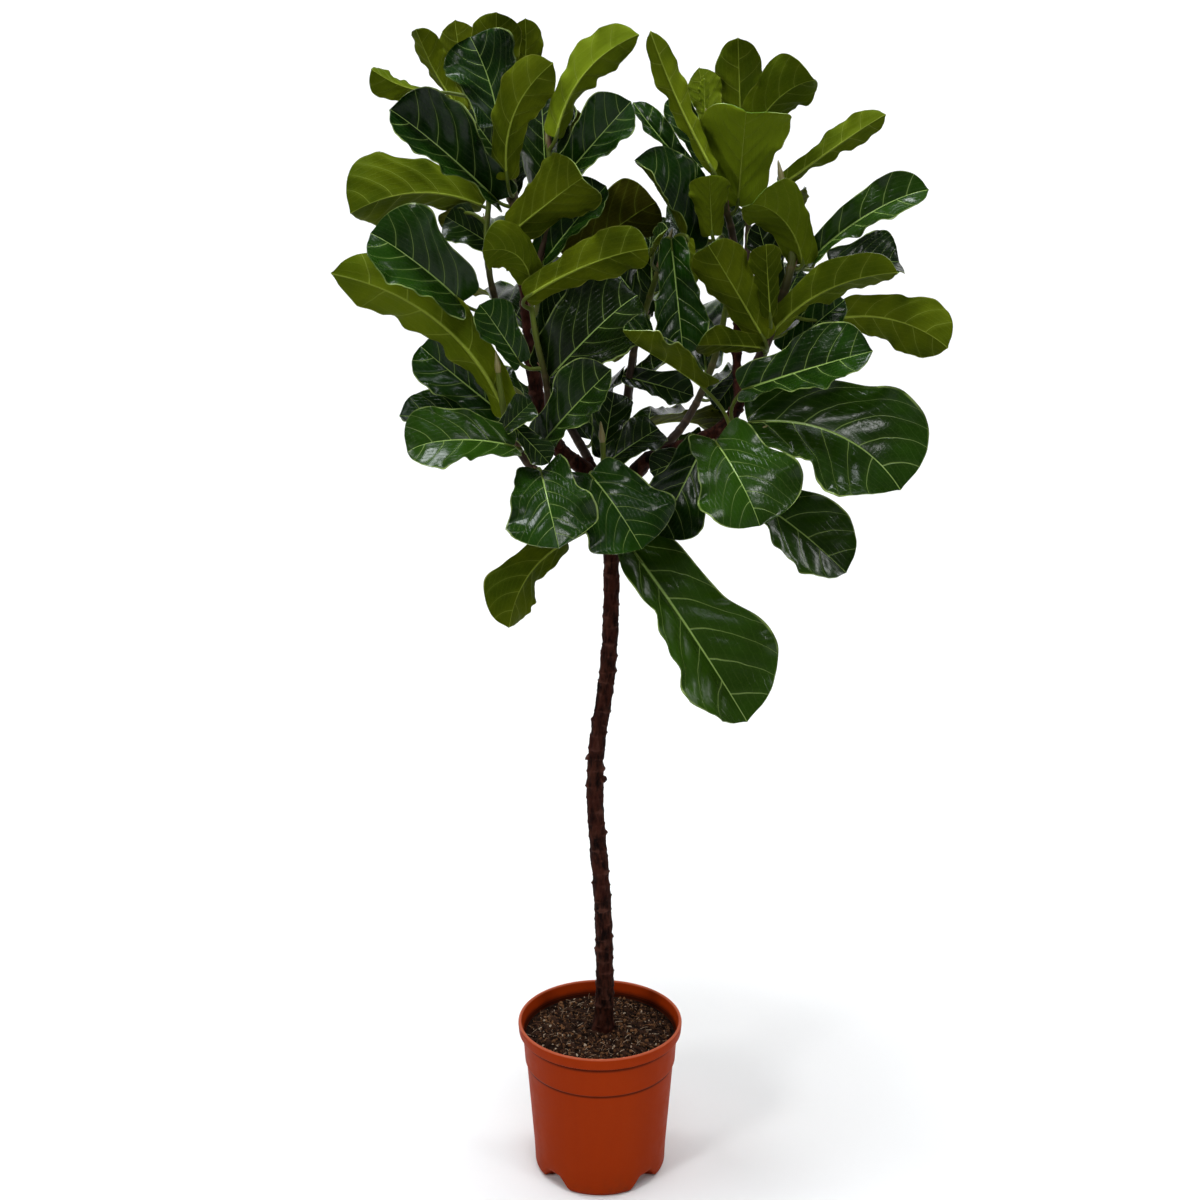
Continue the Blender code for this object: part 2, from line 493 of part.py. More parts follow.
def largest_body(mesh):
    """The mesh with only its largest body, so that the scraps where leaves graze are dropped."""
    shape = bmesh.new()
    shape.from_mesh(mesh)
    unseen = set(shape.verts)
    bodies = []
    while unseen:
        front = {unseen.pop()}
        body = set(front)
        while front:
            front = {edge.other_vert(vert) for vert in front for edge in vert.link_edges} - body
            body |= front
        unseen -= body
        bodies.append(body)
    bodies.sort(key=len)
    for body in bodies[:-1]:
        bmesh.ops.delete(shape, geom=list(body), context="VERTS")
    shape.to_mesh(mesh)
    shape.free()


def fused(name, core, pieces, finish):
    """One solid of the core and the pieces: a Boolean union on a collection, applied."""
    base = mesh_object(name, *core, finish)
    heap = bpy.data.collections.new(name + "_pieces")
    bpy.context.scene.collection.children.link(heap)
    for number, piece in enumerate(pieces):
        part = mesh_object(f"{name}_piece_{number}", *piece)
        bpy.context.scene.collection.objects.unlink(part)
        heap.objects.link(part)
    union = base.modifiers.new("union", "BOOLEAN")
    union.operation = "UNION"
    union.operand_type = "COLLECTION"
    union.collection = heap
    union.solver = "MANIFOLD"
    graph = bpy.context.evaluated_depsgraph_get()
    mesh = bpy.data.meshes.new_from_object(base.evaluated_get(graph))
    base.modifiers.clear()
    base.data = mesh
    for part in list(heap.objects):
        bpy.data.objects.remove(part)
    bpy.data.collections.remove(heap)
    largest_body(mesh)
    mesh.materials.clear()
    mesh.materials.append(finish)
    mesh.shade_smooth()
    mesh.set_sharp_from_angle(angle=SHARP)
    return base


def notch_rise(angle):
    """How far a drain notch has risen at an angle round the pot: 0 on a foot, 1 in a notch."""
    pitch = 2 * math.pi / NOTCHES
    off = np.abs((angle + math.pi / 2) % pitch - pitch / 2)
    ramp = np.clip((NOTCH_FLAT + NOTCH_FLANK - off) / NOTCH_FLANK, 0, 1)
    return ramp * ramp * (3 - 2 * ramp)


def pot_rings(rise):
    """Profile of the pot wall as (radius, height) from the outer bottom centre to the inner one.

    The lower corner is lifted by the notch rise, and the floor steps back down inside it, where
    the wall is thicker along the flanks of the notch.
    """
    lifted = NOTCH_HEIGHT * rise
    step = FOOT_RADIUS - NOTCH_DEPTH * rise - NOTCH_STEP
    corner = lifted + CORNER_HEIGHT
    lower = WALL_FOOT_RADIUS + WALL_FOOT_SWELL
    inner = step - WALL * rise * (5 - 4 * rise)
    return [
        (step - NOTCH_STEP, 0.0),
        (step, lifted),
        (FOOT_RADIUS, lifted),
        (WALL_FOOT_RADIUS, corner),
        (lower, WALL_FOOT_TOP),
        (WALL_TOP_RADIUS, COLLAR_FOOT - STEP_HALF_HEIGHT),
        (COLLAR_FOOT_RADIUS, COLLAR_FOOT + STEP_HALF_HEIGHT),
        (COLLAR_TOP_RADIUS, POT_HEIGHT - RIM_DEPTH - STEP_HALF_HEIGHT / 2),
        (RIM_RADIUS - RIM_FLARE, POT_HEIGHT - RIM_DEPTH),
        (RIM_RADIUS, POT_HEIGHT - 5 * RIM_ROUND),
        (RIM_RADIUS - RIM_ROUND, POT_HEIGHT - RIM_ROUND),
        (RIM_RADIUS - RIM_LIP, POT_HEIGHT),
        (RIM_RADIUS - RIM_LIP - WALL, POT_HEIGHT - RIM_FLARE),
        (COLLAR_TOP_RADIUS - WALL + RIM_FLARE, POT_HEIGHT - RIM_DEPTH),
        (WALL_TOP_RADIUS - WALL, COLLAR_FOOT - 3 * STEP_HALF_HEIGHT),
        (lower - WALL, WALL_FOOT_TOP),
        (WALL_FOOT_RADIUS - WALL, corner + 0.6 * WALL),
        (FOOT_RADIUS - 0.6 * WALL, lifted + WALL),
        (inner, lifted + WALL),
        (inner - NOTCH_STEP, WALL),
    ]


def turned(rings_at, sides, mirrored=False):
    """Closed solid turned from a profile that may change with the angle, closed by two poles.

    A mirrored solid splits its quads by the other diagonal, which is how the potting mix, whose
    profile runs the other way, stays parallel to the twisted faces of the pot wall.
    """
    angles = np.arange(sides) * 2 * math.pi / sides
    profiles = [rings_at(angle) for angle in angles]
    count = len(profiles[0])
    vertices = [
        (radius * math.cos(angle), radius * math.sin(angle), height)
        for angle, profile in zip(angles, profiles)
        for radius, height in profile
    ]
    faces = []
    bottom, top = len(vertices), len(vertices) + 1
    vertices += [(0, 0, profiles[0][0][1]), (0, 0, profiles[0][-1][1])]
    for side in range(sides):
        a, b = side * count, (side + 1) % sides * count
        for k in range(count - 1):
            if mirrored:
                faces += [(b + k, b + k + 1, a + k), (b + k + 1, a + k + 1, a + k)]
            else:
                faces += [(b + k, b + k + 1, a + k + 1), (b + k, a + k + 1, a + k)]
        faces += [(b, a, bottom), (a + count - 1, b + count - 1, top)]
    return vertices, faces


def make_pot():
    vertices, faces = turned(lambda angle: pot_rings(notch_rise(angle)), POT_SIDES)
    pot = mesh_object("pot", vertices, faces, material("terracotta_plastic", POT_COLOUR, 0.42))
    for number in range(NOTCHES):
        angle = -math.pi / 2 + (number + 0.5) * 2 * math.pi / NOTCHES
        bpy.ops.mesh.primitive_cylinder_add(
            vertices=DRAIN_HOLE_SIDES, radius=DRAIN_HOLE_RADIUS, depth=NOTCH_HEIGHT)
        drill = bpy.context.object
        drill.name = f"drain_drill_{number}"
        drill.location = (DRAIN_REACH * math.cos(angle), DRAIN_REACH * math.sin(angle), NOTCH_HEIGHT)
        drill.hide_render = True
        drill.display_type = "WIRE"
        hole = pot.modifiers.new(f"drain_{number}", "BOOLEAN")
        hole.operation = "DIFFERENCE"
        hole.solver = "MANIFOLD"
        hole.object = drill
    return pot


def soil_top(radius, angle):
    """Height of the potting mix: mounded to the stem, with soft lumps."""
    share = radius / COLLAR_FOOT_RADIUS
    lumps = np.sin(5 * angle + 40 * radius) * np.sin(90 * radius + 2 * angle) * share * (1.05 - share)
    return POT_HEIGHT - SOIL_BELOW_RIM + SOIL_MOUND * (1 - share) ** 1.5 + SOIL_LUMP * lumps


def soil_rings(angle):
    """Profile of the potting mix: from its bottom centre up the pot wall, in to the stem, down its hole."""
    inside = pot_rings(notch_rise(angle))[:13:-1]
    profile = [(radius - 1.5 * GAP, height + 2 * GAP) for radius, height in inside]
    surface = POT_HEIGHT - SOIL_BELOW_RIM
    share = (surface - COLLAR_FOOT) / (POT_HEIGHT - RIM_DEPTH - COLLAR_FOOT)
    edge = WALL_TOP_RADIUS - WALL + share * (COLLAR_TOP_RADIUS - WALL_TOP_RADIUS) - 2 * GAP
    profile.append((edge, surface - STEP_HALF_HEIGHT))
    hole = (STEM_FOOT_RADIUS + GAP) / math.cos(math.pi / POT_SIDES)
    profile += [(radius, soil_top(radius, angle)) for radius in (edge - 2 * WALL, *SOIL_RADII, hole)]
    profile.append((hole, TRUNK[0][0][2] * CM - GAP))
    return profile


def make_soil():
    """The potting mix, whose hole is set over by as much as the stem's foot stands off the middle."""
    vertices, faces = turned(soil_rings, POT_SIDES, mirrored=True)
    shift = TRUNK[0][0][0] * CM
    count = (len(vertices) - 2) // POT_SIDES
    for number in list(range(len(vertices) - 2)) + [len(vertices) - 1]:
        if number % count >= count - 2 or number == len(vertices) - 1:
            x, y, z = vertices[number]
            vertices[number] = (x + shift, y, z)
    return mesh_object("soil", vertices, faces, material("potting_mix", SOIL_COLOUR, 0.95))


def arc_lengths(points):
    return np.concatenate([[0], np.cumsum(np.linalg.norm(np.diff(points, axis=0), axis=1))])


def centre_line(branch):
    """Smooth centre line of a branch, in metres, and the arc length at each of its points."""
    path = np.array(branch.path, float) * CM
    stations = arc_lengths(path)
    fine = through(np.linspace(0, stations[-1], 200), stations, path)
    return fine, arc_lengths(fine)


def at_length(line, lengths):
    """Points of a centre line at the given arc lengths."""
    fine, stations = line
    return np.stack([np.interp(lengths, stations, column) for column in fine.T], axis=-1)


def stretch(line, start, end, step):
    """Points of a centre line between two arc lengths, about a step apart, and their headings."""
    count = max(2, int(round((end - start) / step)) + 1)
    lengths = np.linspace(start, end, count)
    headings = at_length(line, lengths + 0.001) - at_length(line, lengths - 0.001)
    return at_length(line, lengths), headings


def make_trunk(lines):
    """The woody stem with its root flare, leaf scars and stubs, and the bare part of each branch."""
    places = np.array([place for place, radius in TRUNK]) * CM
    radii = np.array([radius for place, radius in TRUNK]) * CM
    flare = 4
    rings = np.arange(places[flare - 1, 2] + 0.01, places[-1, 2] - 0.01, SCAR_SPACING * CM / 2)
    heights = np.concatenate([places[:flare, 2], rings, places[-1:, 2]])
    along = np.interp(heights, places[:, 2], arc_lengths(places))
    centre = through(along, arc_lengths(places), places)
    girth = np.interp(heights, places[:, 2], radii)
    girth[flare:-1:2] += SCAR_HEIGHT * CM
    pieces = [tube(np.array(ends) * CM, STUB_RADII, BRANCH_SIDES) for ends in STUBS]
    for name, line in lines.items():
        branch = BRANCHES[name]
        points, headings = stretch(line, 0, branch.bare * CM, BRANCH_STEP)
        thin = branch.thick * CM
        wide = thin * (1 + BRANCH_TAPER * min(branch.bare, LONGEST_TAPER))
        pieces.append(tube(points, np.linspace(wide, thin, len(points)), BRANCH_SIDES, headings))
    return fused("trunk", tube(centre, girth, STEM_SIDES), pieces, material("bark", BARK_COLOUR, 0.85))


def petiole(leaf, line, bare):
    """Leaf stalk: it leaves the stem below its blade, bends out and runs in under the midrib."""
    fine, stations = line
    midrib, normals = blade_points(leaf, np.array([0.0, 0.04, 0.10]), np.array([0.0]))
    foot = midrib[0, 0]
    far = np.linalg.norm(fine - foot, axis=1)
    far[stations < bare + PETIOLE_START] = np.inf
    nearest = int(np.argmin(far))
    lower = stations[nearest] - min(PETIOLE_DROP, 0.5 * far[nearest])
    lower = max(lower, bare + PETIOLE_START)
    start = at_length(line, lower)
    ahead = unit(midrib[2, 0] - foot)
    handle = foot - ahead * 0.45 * np.linalg.norm(foot - start)
    t = np.array([0.0, 0.5, 1.0])[:, None]
    end = foot - FOOT_DEPTH * normals[0, 0]
    stalk = (1 - t) ** 2 * start + 2 * t * (1 - t) * handle + t**2 * end
    points = np.concatenate([stalk, [midrib[2, 0] - MIDRIB_DEPTH * normals[2, 0]]])
    return points, PETIOLE_RADIUS * np.array(PETIOLE_TAPER)


def leaf_solid(leaf, thickness, hidden):
    plain = hidden or leaf.width < PLAIN_WIDTH
    lengths, widths = (PLAIN_LENGTHS, PLAIN_WIDTHS) if plain else (LENGTH_STATIONS, WIDTH_STATIONS)
    points, normals = blade_points(leaf, np.array(lengths), np.array(widths))
    return grid_solid(points + normals * thickness / 2, points - normals * thickness / 2)


def swung(leaf, turn, lift):
    """The same leaf with its tip turned across its face, or lifted along it, by degrees."""
    foot = np.array(leaf.foot, float)
    chord = np.array(leaf.tip, float) - foot
    along = unit(chord)
    up = np.array(leaf.face, float)
    up = unit(up - up.dot(along) * along)
    side = np.cross(along, up)
    turn, lift = math.tan(math.radians(turn)), math.tan(math.radians(lift))
    heading = unit(along + turn * side + lift * up)
    return leaf._replace(tip=tuple(foot + heading * np.linalg.norm(chord)), face=tuple(up - lift * along))


def placed(shape):
    """A shape ready for crossing tests: its box and its tree."""
    vertices, faces = shape
    vertices = np.asarray(vertices)
    tree = BVHTree.FromPolygons([tuple(v) for v in vertices], [tuple(f) for f in faces])
    return vertices.min(axis=0), vertices.max(axis=0), tree


def crossings(shape, others):
    """How many of the other placed shapes this one crosses."""
    low, high, mine = placed(shape)
    near = [tree for below, above, tree in others if (below <= high).all() and (above >= low).all()]
    return sum(bool(mine.overlap(tree)) for tree in near)


def in_dome(tip, foot):
    """A tip drawn in to the dome on its foot's side when it stands outside it."""
    centre, size = min(HIDDEN_DOMES, key=lambda dome: abs(dome[0][0] - foot[0]))
    place = np.array([tip[0], tip[2]]) - centre
    place = centre + place / max(1.0, np.hypot(*(place / size)))
    return np.array([place[0], tip[1], place[1]])


def hidden_leaves(line, bare, count):
    """Leaves set round a stem by the golden angle, all to the back, drooping more the lower they stand."""
    leaves = []
    for number in range(count):
        share = (number + 0.6) / count
        lowest = bare + PETIOLE_DROP
        start = at_length(line, lowest + share * (line[1][-1] - lowest))
        heading = math.radians(GOLDEN_ANGLE * number + FIRST_ANGLE)
        rise = np.interp(share, (0, 1), HIDDEN_RISES)
        outward = unit([math.cos(heading), abs(math.sin(heading)) * 0.8 + 0.35, rise])
        length = np.interp(share, (0, 1), HIDDEN_LENGTHS) * (1 + 0.12 * math.sin(2.3 * number))
        foot = start / CM + outward * HIDDEN_STALK
        tip = in_dome(foot + outward * length, foot)
        facing = (-0.35 * outward[0], -0.35 * outward[1], 1.0)
        width = HIDDEN_WIDTH * np.linalg.norm(tip - foot)
        leaves.append(Leaf(tuple(foot), tuple(tip), facing, width, 35, 20, 15, 20, 0, 0, 0.05))
    return leaves


def settle_leaves(lines):
    """Every stem's leaves as (leaf, whether inner or hidden), each swung a little where it would
    cross wood or an earlier leaf; an inner or hidden leaf that finds no room is left out."""
    wood = {}
    for name, line in lines.items():
        points, headings = stretch(line, 0, line[1][-1], BRANCH_STEP / 2)
        wood[name] = placed(tube(points, BRANCHES[name].thick * CM, BRANCH_SIDES, headings))
    trunk_points = np.array([place for place, radius in TRUNK]) * CM
    trunk_radii = np.array([radius for place, radius in TRUNK]) * CM
    wood["trunk"] = placed(tube(trunk_points, trunk_radii, STEM_SIDES))
    wanted = [(name, leaf, False) for name, leaves in LEAVES.items() for leaf in leaves]
    wanted += [(name, leaf, True) for name, leaves in INNER_LEAVES.items() for leaf in leaves]
    for name, count in HIDDEN_LEAVES.items():
        wanted += [(name, leaf, True) for leaf in hidden_leaves(lines[name], BRANCHES[name].bare * CM, count)]
    settled = {name: [] for name in BRANCHES}
    grown = {name: [] for name in BRANCHES}
    for name, leaf, hidden in wanted:
        others = [shape for other, shape in wood.items() if other != name]
        others += [shape for other in BRANCHES if other != name for shape in grown[other]]
        own = grown[name] + [wood[name]]
        best = None
        for turn, lift in SWINGS:
            tried = swung(leaf, turn, lift)
            blade = leaf_solid(tried, BLADE + 2 * CLEARANCE, hidden)
            stalk = tube(*petiole(tried, lines[name], BRANCHES[name].bare * CM), PETIOLE_SIDES)
            score = (crossings(blade, others) + crossings(stalk, others), crossings(blade, own))
            if best is None or score < best[0]:
                best = (score, tried, stalk)
            if score == (0, 0):
                break
        score, tried, stalk = best
        if hidden and (score[0] or score[1] > 1):
            continue
        settled[name].append((tried, hidden))
        grown[name] += [placed(leaf_solid(tried, BLADE, hidden)), placed(stalk)]
    return settled


def make_shoot(name, line, leaves, finish):
    """One leafy stem: its green wood from the joint to the tip, a pointed bud, and its leaves."""
    branch = BRANCHES[name]
    points, headings = stretch(line, branch.bare * CM + GAP, line[1][-1], BRANCH_STEP)
    ahead = unit(headings[-1])
    points = np.concatenate([points, points[-1] + BUD_LENGTH * np.array([0.45 * ahead, ahead])])
    headings = np.concatenate([headings, [ahead, ahead]])
    radii = np.linspace(branch.thick * CM, BUD_RADIUS, len(points))
    radii[-1] = BUD_POINT
    pieces = []
    for leaf, hidden in leaves:
        pieces.append(leaf_solid(leaf, BLADE, hidden))
        pieces.append(tube(*petiole(leaf, line, branch.bare * CM), PETIOLE_SIDES))
    return fused(name, tube(points, radii, BRANCH_SIDES, headings), pieces, finish)


def main():
    for old in list(bpy.data.objects):
        bpy.data.objects.remove(old)
    lines = {name: centre_line(branch) for name, branch in BRANCHES.items()}
    make_pot()
    make_soil()
    make_trunk(lines)
    green = material("leaf_green", SHOOT_COLOUR, 0.35)
    for name, leaves in settle_leaves(lines).items():
        make_shoot(name, lines[name], leaves, green)


main()
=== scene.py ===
"""Looks of a potted fiddle leaf fig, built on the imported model's frame.

Metres, +Z up, -Y towards the camera, as in the part's own source. The stems, the leaves, their
swings and the shape of a blade are the source's own, so that each fine leaf here lies on its
solid. Places along the plant are in centimetres, scaled by CM.
"""

import math
from collections import namedtuple

import bpy
import numpy as np
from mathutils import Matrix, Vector


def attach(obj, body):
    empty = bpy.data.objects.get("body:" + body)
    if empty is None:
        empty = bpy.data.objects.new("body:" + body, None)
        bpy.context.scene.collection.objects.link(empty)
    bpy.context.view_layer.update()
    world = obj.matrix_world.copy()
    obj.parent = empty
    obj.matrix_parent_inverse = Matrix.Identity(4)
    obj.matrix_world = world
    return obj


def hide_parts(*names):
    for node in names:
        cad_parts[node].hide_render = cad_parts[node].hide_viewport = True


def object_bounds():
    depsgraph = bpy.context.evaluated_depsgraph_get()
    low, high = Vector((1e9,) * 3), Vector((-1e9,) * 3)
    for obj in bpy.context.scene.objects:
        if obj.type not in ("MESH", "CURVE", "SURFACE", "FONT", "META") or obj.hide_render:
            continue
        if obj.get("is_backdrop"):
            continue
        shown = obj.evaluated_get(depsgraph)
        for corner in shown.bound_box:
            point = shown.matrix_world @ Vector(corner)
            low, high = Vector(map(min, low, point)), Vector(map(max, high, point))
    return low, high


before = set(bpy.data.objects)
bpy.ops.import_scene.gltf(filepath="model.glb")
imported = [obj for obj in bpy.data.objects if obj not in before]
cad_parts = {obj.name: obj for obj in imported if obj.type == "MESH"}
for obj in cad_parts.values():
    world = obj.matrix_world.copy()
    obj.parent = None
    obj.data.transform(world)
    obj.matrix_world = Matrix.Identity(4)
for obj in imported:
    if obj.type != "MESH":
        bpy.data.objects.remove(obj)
CAD_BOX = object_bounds()

CM = 0.01
# A hair's breadth, which keeps surfaces out of each other's plane
GAP = 0.0003
TURN = 2 * math.pi
GOLDEN_ANGLE = math.radians(137.5)

# Pot: a thin turned wall with a rolled rim, a stepped collar and four raised drain notches
POT_HEIGHT = 0.228
RIM_RADIUS = 0.120
RIM_DEPTH = 0.017
COLLAR_TOP_RADIUS = 0.1131
COLLAR_FOOT_RADIUS = 0.1103
COLLAR_FOOT = 0.166
WALL_TOP_RADIUS = 0.1080
WALL_FOOT_RADIUS = 0.0962
FOOT_RADIUS = 0.0920
WALL = 0.0022
NOTCHES = 4
NOTCH_HEIGHT = 0.017
NOTCH_DEPTH = 0.030
NOTCH_FLAT = math.radians(5)
NOTCH_FLANK = math.radians(13)
NOTCH_STEP = 0.003
CORNER_HEIGHT = 0.006
WALL_FOOT_SWELL = 0.0014
WALL_FOOT_TOP = 0.035
STEP_HALF_HEIGHT = 0.001
RIM_LIP = 0.0024
RIM_ROUND = 0.0008
RIM_FLARE = 0.0012
BAND = POT_HEIGHT - RIM_DEPTH
POT_SIDES = 180
CORNER_REACH = 0.0022
DRAIN_HOLE_RADIUS = 0.005
DRAIN_HOLE_SIDES = 28
DRAIN_REACH = 0.074
# How many rings at the end of the wall's profile the potting mix lies against
INNER_WALL_RINGS = 6
# How far painted shade reaches down the pot wall from under the collar and from under the rim
COLLAR_SHADE_REACH = 0.0055
RIM_SHADE_REACH = 0.0085

# Potting mix: the height of its edge, its mound and lumps, and what is strewn over it
SOIL_LEVEL = POT_HEIGHT - 0.022
SOIL_MOUND = 0.006
SOIL_LUMP = 0.005
SOIL_RINGS = 70
INNER_RING = 0.004
# Depth, wave length and seed of its fine lumps, the margin they fade in, and how deep and how wide
# its edge is pressed down
SOIL_ROUGH = ((0.0016, 0.014, 5), (0.0010, 0.006, 6), (0.0006, 0.003, 7))
ROUGH_MARGIN = 0.004
EDGE_PRESS = (0.0012, 0.012)
# Crumbs of bark and grit, and root fibres: how many, how far out they lie, and how big they are
CRUMBS = 2100
CRUMB_SEED = 21
CRUMB_REACH = 0.104
CRUMB_SIZES = (0.0009, 0.0022)
PALE_SHARE = 0.10
FIBRES = 260
FIBRE_REACH = 0.1
FIBRE_GRID = (7, 3)

# Leaf stalks: one leaves its stem at least START above the bare wood and at most DROP below its
# blade, enters the blade FOOT_DEPTH under its foot, and ends MIDRIB_DEPTH under the midrib
PETIOLE_RADII = 0.0024 * np.array((1.25, 1.0, 1.0, 0.4))
PETIOLE_START = 0.008
PETIOLE_DROP = 0.018
FOOT_DEPTH = 0.0016
MIDRIB_DEPTH = 0.0006
BUD_LENGTH = 0.028
BUD_RADIUS = 0.0035
# How much wider a branch is at its root than at its leafy part, for each bare centimetre
BRANCH_TAPER = 0.012
LONGEST_TAPER = 30

# How far apart the rings of wood stand, and how many there are along a stub
TRUNK_STEP = 0.0022
BRANCH_STEP = 0.003
STEM_STEP = 0.004
STEM_SIDES = 14
STUB_RINGS = 9
# Bark: sides round the wood, first seed of its relief, and how far apart its leaf scars stand
TRUNK_BARK = (48, 11, 0.019)
STUB_BARK = (14, 40, 0.05)
BRANCH_BARK = (22, 60, 0.021)
FIRST_SCAR = 0.006
# The relief of bark and of potting mix from where its paint is darkest to where it is palest
RELIEF_SPAN = 0.004

# The bare stem: places on its centre line, from its foot in the soil to the fork, and radii there
TRUNK = (
    ((0.4, 0.0, 10.5), 1.75), ((0.4, 0.0, 20.5), 1.75), ((0.5, 0.0, 21.6), 1.60),
    ((0.6, 0.0, 23.5), 1.36), ((0.7, 0.0, 29.0), 1.28), ((0.6, 0.0, 34.0), 1.24),
    ((0.3, 0.0, 42.0), 1.22), ((-0.4, 0.2, 51.0), 1.20), ((-0.7, 0.2, 58.0), 1.18),
    ((-0.4, 0.1, 64.5), 1.14), ((0.8, 0.0, 73.0), 1.12), ((1.4, 0.0, 80.0), 1.10),
    ((1.55, 0.0, 90.0), 1.06), ((1.5, 0.0, 97.0), 1.10), ((1.3, 0.0, 101.0), 0.95))
# Short dead stubs: place on the stem, free end
STUB_RADII = (0.006, 0.0045)
STUBS = (
    ((-0.7, 0.2, 62.0), (-1.7, 0.0, 62.9)),
    ((-0.5, 0.2, 59.0), (0.7, -0.9, 59.8)),
    ((1.4, 0.0, 82.5), (2.4, 0.4, 83.3)))

# A leaf: the foot and the tip of its blade, the way its upper side faces, and its width; its tone,
# from 1 for young and bright to -1 for old and dark, where some low tones are painted shade on
# leaves deep in the crown; in degrees its arch along the midrib (+ bows to the upper side), its
# fold along the midrib and the curl of its edges; the edge wave as a share of the width; the hook
# of the tip in degrees (+ down); the sway of the midrib as a share of the length; and in degrees
# how far it is swung across and along its face, clear of its neighbours, and its twist
# Tone of the inner and hidden leaves, which turns them brown and dark as painted shade deep inside
# the crown
INNER_SHADE_TONE = -0.4
Leaf = namedtuple(
    "Leaf", "foot tip face width tone arch fold curl wave hook sway turn lift twist",
    defaults=(INNER_SHADE_TONE, 15, 15, 15, 0.05, 0, 0, 0, 0, 0))

